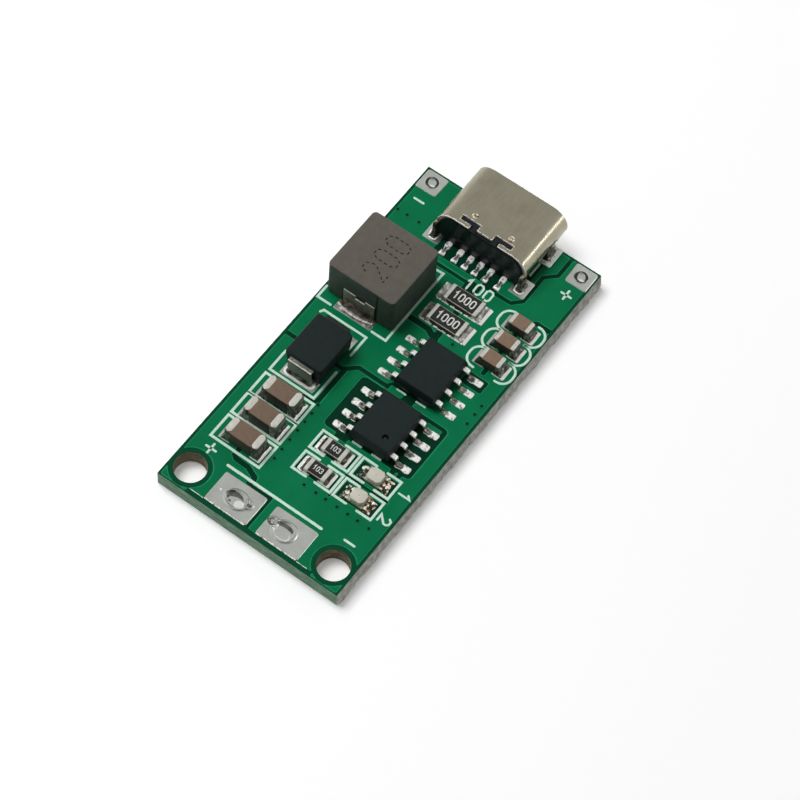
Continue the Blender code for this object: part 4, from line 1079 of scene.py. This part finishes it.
def make_contacts():
    """Six contacts: foot on its land, up inside the moulding and along the tongue. Each land's skin is
    half an oval, half * cos a wide and rise * (sin a)^0.22 high, at every y."""
    metal, lands = [], []
    angle, thick = np.linspace(0, math.pi, 9), CONTACT_THICK
    for name in CONTACTS:
        low, high = extent(name)
        x, foot, level = (low[0] + high[0]) / 2, low[2] + thick / 2, high[2] - thick / 2
        feet = [(y, foot) for y in (low[1], 30.5, 30.8, 31.1, REAR + 0.4)]
        line = bent((*feet, (REAR + 0.4, level), (high[1], level)), 0.14)
        narrow = np.where(line[:, 1] < foot + 0.01, np.interp(line[:, 0], (30.4, 30.7, 31.0), (1, 0.7, 1)), 1)
        metal.append(folded(line, x, CONTACT_WIDE, thick, flare=narrow))
        lands.append(loft(spread(x + LAND_HALF * np.cos(angle), LAND_Y, LAND_RISE * np.sin(angle) ** 0.22)))
    piece("contact_row", metal, [contact_metal], CONTACTS)
    # The solder lands are white as painted glare.
    piece("contact_solder", lands, [glare_solder], crease=60)


make_shell()
make_shell_edges()
make_legs()
make_housing()
make_contacts()


# Inductor and diode

STRAP_THICK = 0.2
BEND_RADIUS = 0.16


def strap_bodies(x, width, face, side, top, foot, notch=None):
    """Folded end terminal: out of the body, over a bend, down its face and back under it. `side` is
    the way into the body along y."""
    thick = STRAP_THICK
    level, out = top - thick / 2, face + side * thick / 2
    down = (out, 0.02 + thick / 2), (out + side * foot, 0.02 + thick / 2)
    x_low, x_high = x - width / 2, x + width / 2
    edge, over = face + side * 0.07, top - 0.04

    def strip(low, high, sunk=0.0):
        path = bent(((out + side * 0.35, level - sunk), (out, level - sunk), *down), BEND_RADIUS)
        return folded(path, (low + high) / 2, high - low, thick, edge=0.04)

    # Rods of mark 1 along the bend and the notch's lip are painted highlights; blocks of mark 2 by the notch
    # are painted shade.
    if notch is None:
        return [strip(x_low, x_high), rod(x_low + 0.02, x_high - 0.02, edge, over, 0.1, 0.012, 1)]
    middle, wide, deep = notch
    left, right = middle - wide / 2, middle + wide / 2
    near, far = sorted((face + side * 0.12, face + side * 0.2))
    hollows = (
        ((left, near, top - deep), (right, far, top + 0.05)),
        ((x_high + 0.03, near, 0.06), (x_high + 0.22, far, top + 0.02)),
        ((x_high + 0.12, near, top - 0.1), (x_high + 0.2, far, top + 1.95)),
    )
    return [
        strip(x_low, left),
        strip(left - 0.025, right + 0.025, deep),
        strip(right, x_high),
        rod(x_low + 0.02, left - 0.03, edge, over, 0.1, 0.014, 1),
        rod(right + 0.03, x_high - 0.02, edge, over, 0.1, 0.014, 1),
        rod(left, right, face + side * 0.02, top - deep - 0.02, 0.12, 0.014, 1),
        *(block(*hollow, 0.02, 0.01, mark=2) for hollow in hollows),
    ]


def make_straps(part, foot, metals, shift=None):
    """The two terminals of a part. A shift is the way from the middle to the notch, along x."""
    for end, side, finishes in (("front", 1, metals[0]), ("rear", -1, metals[1])):
        low, high = extent(f"{part}_terminal_{end}")
        x, face = (low[0] + high[0]) / 2, low[1] if side > 0 else high[1]
        notch = shift and (x + side * shift, 0.9, 0.34)
        bodies = strap_bodies(x, high[0] - low[0], face, side, high[2], foot, notch)
        piece(f"{part}_strap_{end}", bodies, finishes, [f"{part}_terminal_{end}"])


def make_inductor():
    """Pressed block with a recessed dashed number, and two folded terminals."""
    low, high = extent("inductor_core")
    core = block(*inset(low, high, 0, 0.06), 0.4, 0.1, steps=4, smooth_corner=8)
    middle = high[0] - 3.05, low[1] + 3.35
    cuts = lettering("200", middle, 2.2, 0.1, 90, high[2] - 0.05, high[2] + 0.1, 1, (0.2, 0.31), 0.75)
    for end, y_low, y_high in (("front", low[1] - 1, low[1] + 0.22), ("rear", high[1] - 0.22, high[1] + 1)):
        (x_low, _, _), (x_high, _, top) = extent("inductor_terminal_" + end)
        cuts.append(block((x_low - 0.1, y_low, -1), (x_high + 0.24, y_high, top + 0.04), 0.01, 0.005))
        cuts.append(block((x_high + 0.1, y_low, top), (x_high + 0.22, y_high, top + 1.97), 0.01, 0.005))
    piece("inductor_block", [core], [pressed_iron, pressed_mark], ["inductor_core"], cuts=cuts)
    metals = [greenish_shaded_strap, edge_highlight, shadow_hole]
    make_straps("inductor", 1.4, (metals, metals), 0.12)


def make_diode():
    """Drafted block in two mould halves with a folded terminal at each end."""
    low, high = extent("diode_body")
    parting = extent("diode_terminal_front")[1][2] - 0.1
    lower = inset(low, (high[0], high[1], parting), 0.14, 0.14)
    halves = [
        block(*lower, 0.2, 0.02, -0.14),
        block((low[0], low[1], parting - 0.03), high, 0.3, 0.12, 0.06, steps=4),
    ]
    piece("diode_moulding", halves, [epoxy], ["diode_body"])
    # The rear terminal is near-black as painted shade.
    make_straps("diode", 1.0, ([greenish_shaded_strap, edge_highlight], [deep_shade_strap, deep_shade_strap]))


# Chips

LEAD_THICK = 0.2
SHOULDER_WIDE = 0.46
FOOT_WIDE = 0.34


def make_chip(name):
    """Moulded body with a parting line, a pin-one dimple on the charger chip, and eight gull-wing leads."""
    low, high = extent(name + "_body")
    middle, centre, top = (low[2] + high[2]) / 2, (low + high) / 2, high[2]
    lower = block(low, (high[0], high[1], middle), 0.05, 0.02)
    points = lower[0]
    share = (middle - points[:, 2]) / (middle - low[2])
    points[:, :2] -= np.sign(points[:, :2] - centre[:2]) * (0.12 * share)[:, None]
    upper = block((low[0], low[1], middle - 0.01), high, 0.05, 0.06, 0.2)
    dimple = ((0.12, top - 0.16), (0.2, top - 0.2), (0.27, top - 0.03), (0.31, top + 0.1))
    cuts = [turned(high[0] - 1.15, low[1] + 1.15, dimple, 32, 1)] if name == "charger_chip" else None
    piece(name + "_moulding", [upper], [epoxy, shiny_epoxy], [name + "_body"], cuts=cuts)
    piece(name + "_lower_half", [lower], [epoxy])
    nodes, leads = [f"{name}_lead_{number}" for number in range(1, 9)], []
    for node in nodes:
        low, high = extent(node)
        y, floor, level = (low[1] + high[1]) / 2, low[2] + LEAD_THICK / 2, high[2] - LEAD_THICK / 2
        side, toe, root = (1, high[0], low[0]) if low[0] > centre[0] else (-1, low[0], high[0])
        knee, heel = toe - side * 0.66, toe - side * 0.56
        path = bent(((root, level), (knee, level), (heel, floor), (toe, floor)), 0.15)
        bend = int(np.sum(np.clip((level - path[:, 1]) / (level - floor), 0, 1) < 0.55))
        # Shoulders take the near-white tin as a painted highlight; the slope and foot take the darker copy as
        # painted shade.
        leads.append(folded(path[:bend], y, SHOULDER_WIDE, LEAD_THICK, "x", 0.09, 0))
        leads.append(folded(path[bend - 1:], y, FOOT_WIDE, LEAD_THICK, "x", 0.05, 1))
    piece(name + "_leads", leads, [highlit_lead, shaded_lead], nodes)


# Chip capacitors, resistors and lights


def make_capacitor(node, end, corner):
    """Fired block with painted shade down its sides, and a cap on each end darkened as painted shade
    except for the bright face on its top."""
    low, high = extent(node)
    left, right, under = low[0] + end, high[0] - end, high[2] - 0.12
    body_low, body_high = (left, low[1], low[2]), (right, high[1], high[2])
    bodies = [
        block(*inset(body_low, body_high, -0.03, 0.03, 0.02, 0.06), 0.06, 0.05, mark=3),
        block(*inset((left, low[1], under), body_high, -0.1, 0.02, 0, 0.02), 0.06, 0.04),
    ]
    for x_low, x_high in ((low[0], left), (right, high[0])):
        cap = (x_low, low[1], low[2]), (x_high, high[1], high[2] - 0.01)
        # The cap is dark as painted shade; the face on its top keeps the bright plating.
        bodies.append(block(*cap, 0.2, 0.14, mark=2, steps=5))
        face = (x_low + 0.02, low[1] + 0.06, high[2] - 0.24), (x_high - 0.03, high[1] - 0.06, high[2] + 0.005)
        bodies.append(block(*face, corner, 0.07, mark=1))
    brown = brown_ceramic if "output" in node else light_brown
    piece(node + "_chip", bodies, [brown, end_metal, shaded_end, shaded_side_ceramic], [node])


def make_resistor(node, end, text, size):
    """Ceramic slab, darker below as painted shade, with plated ends, a dark glaze on top and its number."""
    low, high = extent(node)
    rim = high[2] - 0.13
    bodies = [
        # The lower slab is darker as painted shade.
        block(*inset(low, (high[0], high[1], rim), 0.03, 0.02, 0.01, -0.05), 0.03, 0.03, mark=4),
        block(*inset((low[0], low[1], rim), high, 0.03, 0.01, 0, 0.04), 0.03, 0.03),
        block(low, (low[0] + end, high[1], high[2] - 0.01), 0.05, mark=1),
        block((high[0] - end, low[1], low[2]), (high[0], high[1], high[2] - 0.01), 0.05, mark=1),
        block(*inset((low[0], low[1], high[2]), high, end - 0.04, 0.06, -0.09), 0.06, 0.03, mark=2),
    ]
    centre = (low[:2] + high[:2]) / 2
    bodies += lettering(text, centre, size, size * 0.16, 0, high[2] - 0.02, high[2] + 0.006, 3, squeeze=0.8)
    finishes = [pale_ceramic, end_metal, glaze, number_ink, shaded_side_ceramic]
    piece(node + "_chip", bodies, finishes, [node])


def make_light(number):
    """Laminate base with flecked ends, cream on the left and gold on the right, with painted glints and
    shade, and a frosted lens with cut corners.
    """
    low, high = extent(f"light_{number}_base")
    bodies = [
        block(*inset(low, high, 0.05, 0), 0.04, 0.02),
        block(low, (low[0] + 0.3, high[1], high[2] + 0.01), 0.05, 0.03, mark=1),
        block((high[0] - 0.3, low[1], low[2]), (high[0], high[1], high[2] + 0.01), 0.05, 0.03, mark=2),
    ]
    finishes = [light_laminate, cream_flecks, gold_flecks]
    piece(f"light_{number}_laminate", bodies, finishes, [f"light_{number}_base"])
    low, high = extent(f"light_{number}_lens")
    x, y = (low[:2] + high[:2]) / 2
    speck = (x - 0.07, y - 0.04, high[2] - 0.02), (x + 0.05, y + 0.04, high[2] + 0.004)
    bodies = [block(low, high, 0.3, 0.03, 0.05, smooth_corner=1), block(*speck, 0.03, 0.002, mark=1)]
    finishes = [cream_lens, light_laminate]
    piece(f"light_{number}_frosted", bodies, finishes, [f"light_{number}_lens"], crease=25)


make_inductor()
make_diode()
make_chip("driver_chip")
make_chip("charger_chip")
for number in (1, 2, 3):
    make_capacitor(f"output_capacitor_{number}", 0.64, 0.3)
    make_capacitor(f"input_capacitor_{number}", 0.4, 0.12)
for number in (1, 2):
    make_resistor(f"sense_resistor_{number}", 0.36, "1000", 0.72)
    make_resistor(f"light_resistor_{number}", 0.38, "103", 0.42)
    make_light(number)


# Solder joints: kind, count, reach and rise on the left and right, mark of the upper skin, mark on the left

# The marks pick lit and shaded copies of solder: bright and white ones paint highlights, dark and dull ones
# paint shade.
END_JOINTS = (
    ("output_capacitor", 3, 0.5, 0.37, 1.0, 1.1, 1, 5),
    ("input_capacitor", 3, 0.5, 0.58, 0.7, 0.7, 1, 5),
    ("sense_resistor", 2, 0.72, 0.74, 0.5, 0.5, 2, 2),
    ("light_resistor", 2, 0.58, 0.5, 0.36, 0.36, 1, 7),
)
STRAP_JOINTS = (
    ("inductor_terminal_front", 0.95, 0.5, -1, 0.3), ("inductor_terminal_rear", 0.9, 0.5, 1, 0.3),
    ("diode_terminal_front", 0.42, 0.6, -1, 0.5), ("diode_terminal_rear", 0.5, 0.5, 1, 0.5),
)


def end_joints(joints):
    """Solder drawn up both ends of the capacitors and resistors."""
    for kind, count, left, right, rise_left, rise_right, upper, left_land in END_JOINTS:
        for number in range(1, count + 1):
            low, high = extent(f"{kind}_{number}")
            y_low, y_high = low[1] - 0.1, high[1] + 0.1
            for side, end, out, rise in ((-1, low[0], left, rise_left), (1, high[0], right, rise_right)):
                land_mark = left_land if side < 0 else 0
                near, far = span(end, side, out, 0.6)
                joints.append(block((near, y_low, -0.01), (far, y_high, 0.05), 0.08, 0.04, mark=land_mark))
                land = (*span(end, side, out - 0.12, 0.5), y_low + 0.04, y_high - 0.04)
                part = (*span(end, side, -0.02, 0.4), low[1] + 0.05, high[1] - 0.05)
                joints += solder(land, part, rise, 0.03, (land_mark, upper), 0.28, 0.1, ragged=0.035)


def light_joints(joints):
    """A painted highlight along each sense resistor, and flecks of solder at the lights with painted glints.
    """
    for number in (1, 2):
        low, high = extent(f"sense_resistor_{number}")
        joints.append(rod(low[0] - 0.5, high[0] + 0.5, low[1] - 0.1, 0.05, 0.13, 0.035, 7))
        low, high = extent(f"light_{number}_base")
        for side, end, mark in ((-1, low[0], 4), (1, high[0], 3)):
            land = (*span(end, side, 0.42, 0.3), low[1] + 0.02, high[1] - 0.02)
            part = (*span(end, side, 0.02, 0.25), low[1] + 0.1, high[1] - 0.1)
            joints += solder(land, part, 0.3, 0, (mark, mark), 0.4, 0.12, ragged=0.07)


def lead_joints(joints):
    """Solder under and round every lead's foot, white as painted glare, with a dull upper skin as painted
    shade.
    """
    for name in ("driver_chip", "charger_chip"):
        for number in range(1, 9):
            low, high = extent(f"{name}_lead_{number}")
            y = (low[1] + high[1]) / 2
            toe, side = (high[0], 1) if number <= 4 else (low[0], -1)
            near, far = span(toe, side, 0.74, 0.08)
            joints.append(block((near, y - 0.29, -0.01), (far, y + 0.29, 0.12), 0.14, 0.1, mark=7))
            land = (*span(toe, side, 0.7, 0.6), y - 0.29, y + 0.29)
            part = (*span(toe, side, 0, 0.55), y - 0.17, y + 0.17)
            joints += solder(land, part, 0.2, 0, (7, 2), 0.35, 0.12, ragged=0.04)


def strap_joints(joints):
    """Solder before the folded terminals, its upper skin olive as painted shade, with a bright crescent
    before the inductor's as a painted highlight.
    """
    for name, out, rise, side, spare in STRAP_JOINTS:
        low, high = extent(name)
        face = low[1] if side < 0 else high[1]
        x_low, x_high = low[0] - spare, high[0] + spare
        near, far = span(face, side, out, 0.7)
        joints.append(block((x_low, near, -0.01), (x_high, far, 0.05), 0.08, 0.04, mark=5))
        land = (x_low + 0.1, x_high - 0.1, *span(face, side, out - 0.1, 0.6))
        part = (low[0] + 0.05, high[0] - 0.05, *span(face, side, 0.01, 0.5))
        is_inductor = "inductor" in name
        joints += solder(land, part, rise, 0.02, (2 if is_inductor else 0, 6), 0.5, 0.6, 0.05, 0.03)
        if is_inductor:
            share = np.linspace(-0.55, 0.55, 15)
            x = (low[0] + high[0]) / 2 + share * (high[0] - low[0])
            y = face + side * (out - 0.24 - 1.1 * share**2)
            joints.append(bead(spread(x, y, 0.2), 0.2, 0.02, 8))


joints = []
for make in (end_joints, light_joints, lead_joints, strap_joints):
    make(joints)
JOINT_FINISHES = [
    highlit_solder, shaded_solder, dull_shaded_solder, gold_flecks, cream_flecks,
    tin, olive_shaded_solder, glare_solder, edge_highlight,
]
piece("joints", joints, JOINT_FINISHES, crease=60)


# Floor, light and camera

FLOOR_HALF = 3
FLOOR_GAP = 0.06
FLOOR_GLOW = 0.19


def make_floor():
    """A wide pale floor just under the board. It looks white, and throws little light back up."""
    line = np.linspace(-FLOOR_HALF, FLOOR_HALF, 13)
    x, y = np.meshgrid(line, line)
    mesh = bpy.data.meshes.new("floor")
    points = spread(x, y, model_box[0][2] - FLOOR_GAP * MM).reshape(-1, 3)
    mesh.from_pydata(points.tolist(), [], lattice(13, 13).tolist())
    sheet = Finish("pale_floor", 0, 0.0)
    path = sheet.add("LightPath").outputs
    mirrored = sheet.maths("MAXIMUM", path["Is Glossy Ray"], path["Is Transmission Ray"])
    seen = sheet.maths("MAXIMUM", path["Is Camera Ray"], mirrored)
    pale = sheet.ramp(sheet.noise(6, 2), (0.3, 0.9, 0.9, 0.9), (0.7, 0.93, 0.93, 0.93))
    sheet.links.new(sheet.mixed(seen, (0.7, 0.7, 0.7, 1), pale), sheet.surface["Base Color"])
    sheet.links.new(sheet.maths("MULTIPLY", seen, FLOOR_GLOW), sheet.surface["Emission Strength"])
    sheet.surface["Roughness"].default_value = 1.0
    sheet.surface["Emission Color"].default_value = (1, 1, 1, 1)
    mesh.materials.append(sheet.material)
    floor = placed("floor", mesh)


FRONT = (0.49, -0.87, 0.0)
FRONT_SHADE = 0.25
SOFT_LIGHT = 0.45
SKY = ((0.16, 1, 1, 1), (0.32, 0.74, 0.74, 0.74), (0.9, 0.66, 0.66, 0.66), (1.0, 0.5, 0.5, 0.5))


def make_world():
    """Pale surroundings, a little darker overhead and in front, where the viewer stands."""
    surroundings = bpy.data.worlds.new("studio")
    bpy.context.scene.world = surroundings
    surroundings.use_nodes = True
    surroundings.node_tree.nodes.clear()
    sheet = Drawing(surroundings.node_tree, "Generated")
    towards = sheet.add("VectorMath", {0: sheet.place, 1: FRONT}, "DOT_PRODUCT").outputs["Value"]
    shade = sheet.reach(towards, 1.0, FRONT_SHADE, 0.15, 0.75)
    dimmed = sheet.add("Mix", {"Factor": 1, 6: sheet.ramp(sheet.along("Z"), *SKY), 7: shade})
    dimmed.blend_type = "MULTIPLY"
    tone = dimmed.outputs[2]
    soft = sheet.add("Background", {"Strength": SOFT_LIGHT, "Color": tone}).outputs["Background"]
    shown = sheet.add("Background", {"Color": tone}).outputs["Background"]
    white = sheet.add("Background", {"Color": (1, 1, 1, 1)}).outputs["Background"]
    path = sheet.add("LightPath").outputs
    lit = sheet.add("MixShader", {"Fac": path["Is Glossy Ray"], 1: soft, 2: shown}).outputs["Shader"]
    seen = sheet.maths("MAXIMUM", path["Is Camera Ray"], path["Is Transmission Ray"])
    whole = sheet.add("MixShader", {"Fac": seen, 1: lit, 2: white}).outputs["Shader"]
    sheet.add("OutputWorld", {"Surface": whole})


MIDDLE = Vector([(a + b) / 2 for a, b in zip(*model_box)])


def lamp(name, direction, distance, width, height, watts, mirrored=True, only_glare=False):
    """A soft box that faces the board. One that isn't mirrored leaves no glare on metal, and one
    that is only glare lights nothing else."""
    light = bpy.data.lights.new(name, "AREA")
    light.shape = "RECTANGLE"
    light.size, light.size_y, light.energy = width, height, watts
    holder = placed(name, light)
    towards = Vector(direction).normalized()
    holder.location = MIDDLE + towards * distance
    holder.rotation_euler = towards.to_track_quat("Z", "Y").to_euler()
    holder.visible_glossy = mirrored
    holder.visible_diffuse = not only_glare


PICTURE_WIDTH = 800
FOCUS = 2805.3
FILM_WIDTH = 36
CAMERA_PLACE = (66.859, -77.542, 195.23)
CAMERA_RIGHT = (0.80825, 0.58641, 0.0534)
CAMERA_DOWN = (0.53386, -0.69151, -0.48663)
CAMERA_AHEAD = (-0.24844, 0.42183, -0.87198)


def make_camera():
    """The photograph's own view: worked out from the board's corners and the height of the inductor."""
    camera = bpy.data.cameras.new("camera")
    camera.sensor_width = FILM_WIDTH
    camera.lens = FOCUS / PICTURE_WIDTH * FILM_WIDTH
    camera.clip_start, camera.clip_end = 0.01, 20
    holder = placed("camera", camera)
    turn = Matrix((CAMERA_RIGHT, [-v for v in CAMERA_DOWN], [-v for v in CAMERA_AHEAD])).transposed()
    holder.matrix_world = Matrix.Translation(Vector(world(CAMERA_PLACE))) @ turn.to_4x4()
    bpy.context.scene.camera = holder


make_floor()
make_world()
lamp("key", (-0.42, 0.0, 0.9), 0.5, 0.24, 0.24, 1.9, False)
lamp("shoulder", (0.88, 0.435, 0.34), 0.6, 0.4, 0.03, 0.4, only_glare=True)
lamp("glint", (-0.25, -0.87, 0.43), 0.6, 0.5, 0.03, 0.12, only_glare=True)
make_camera()

bpy.context.scene.view_settings.view_transform = "Standard"
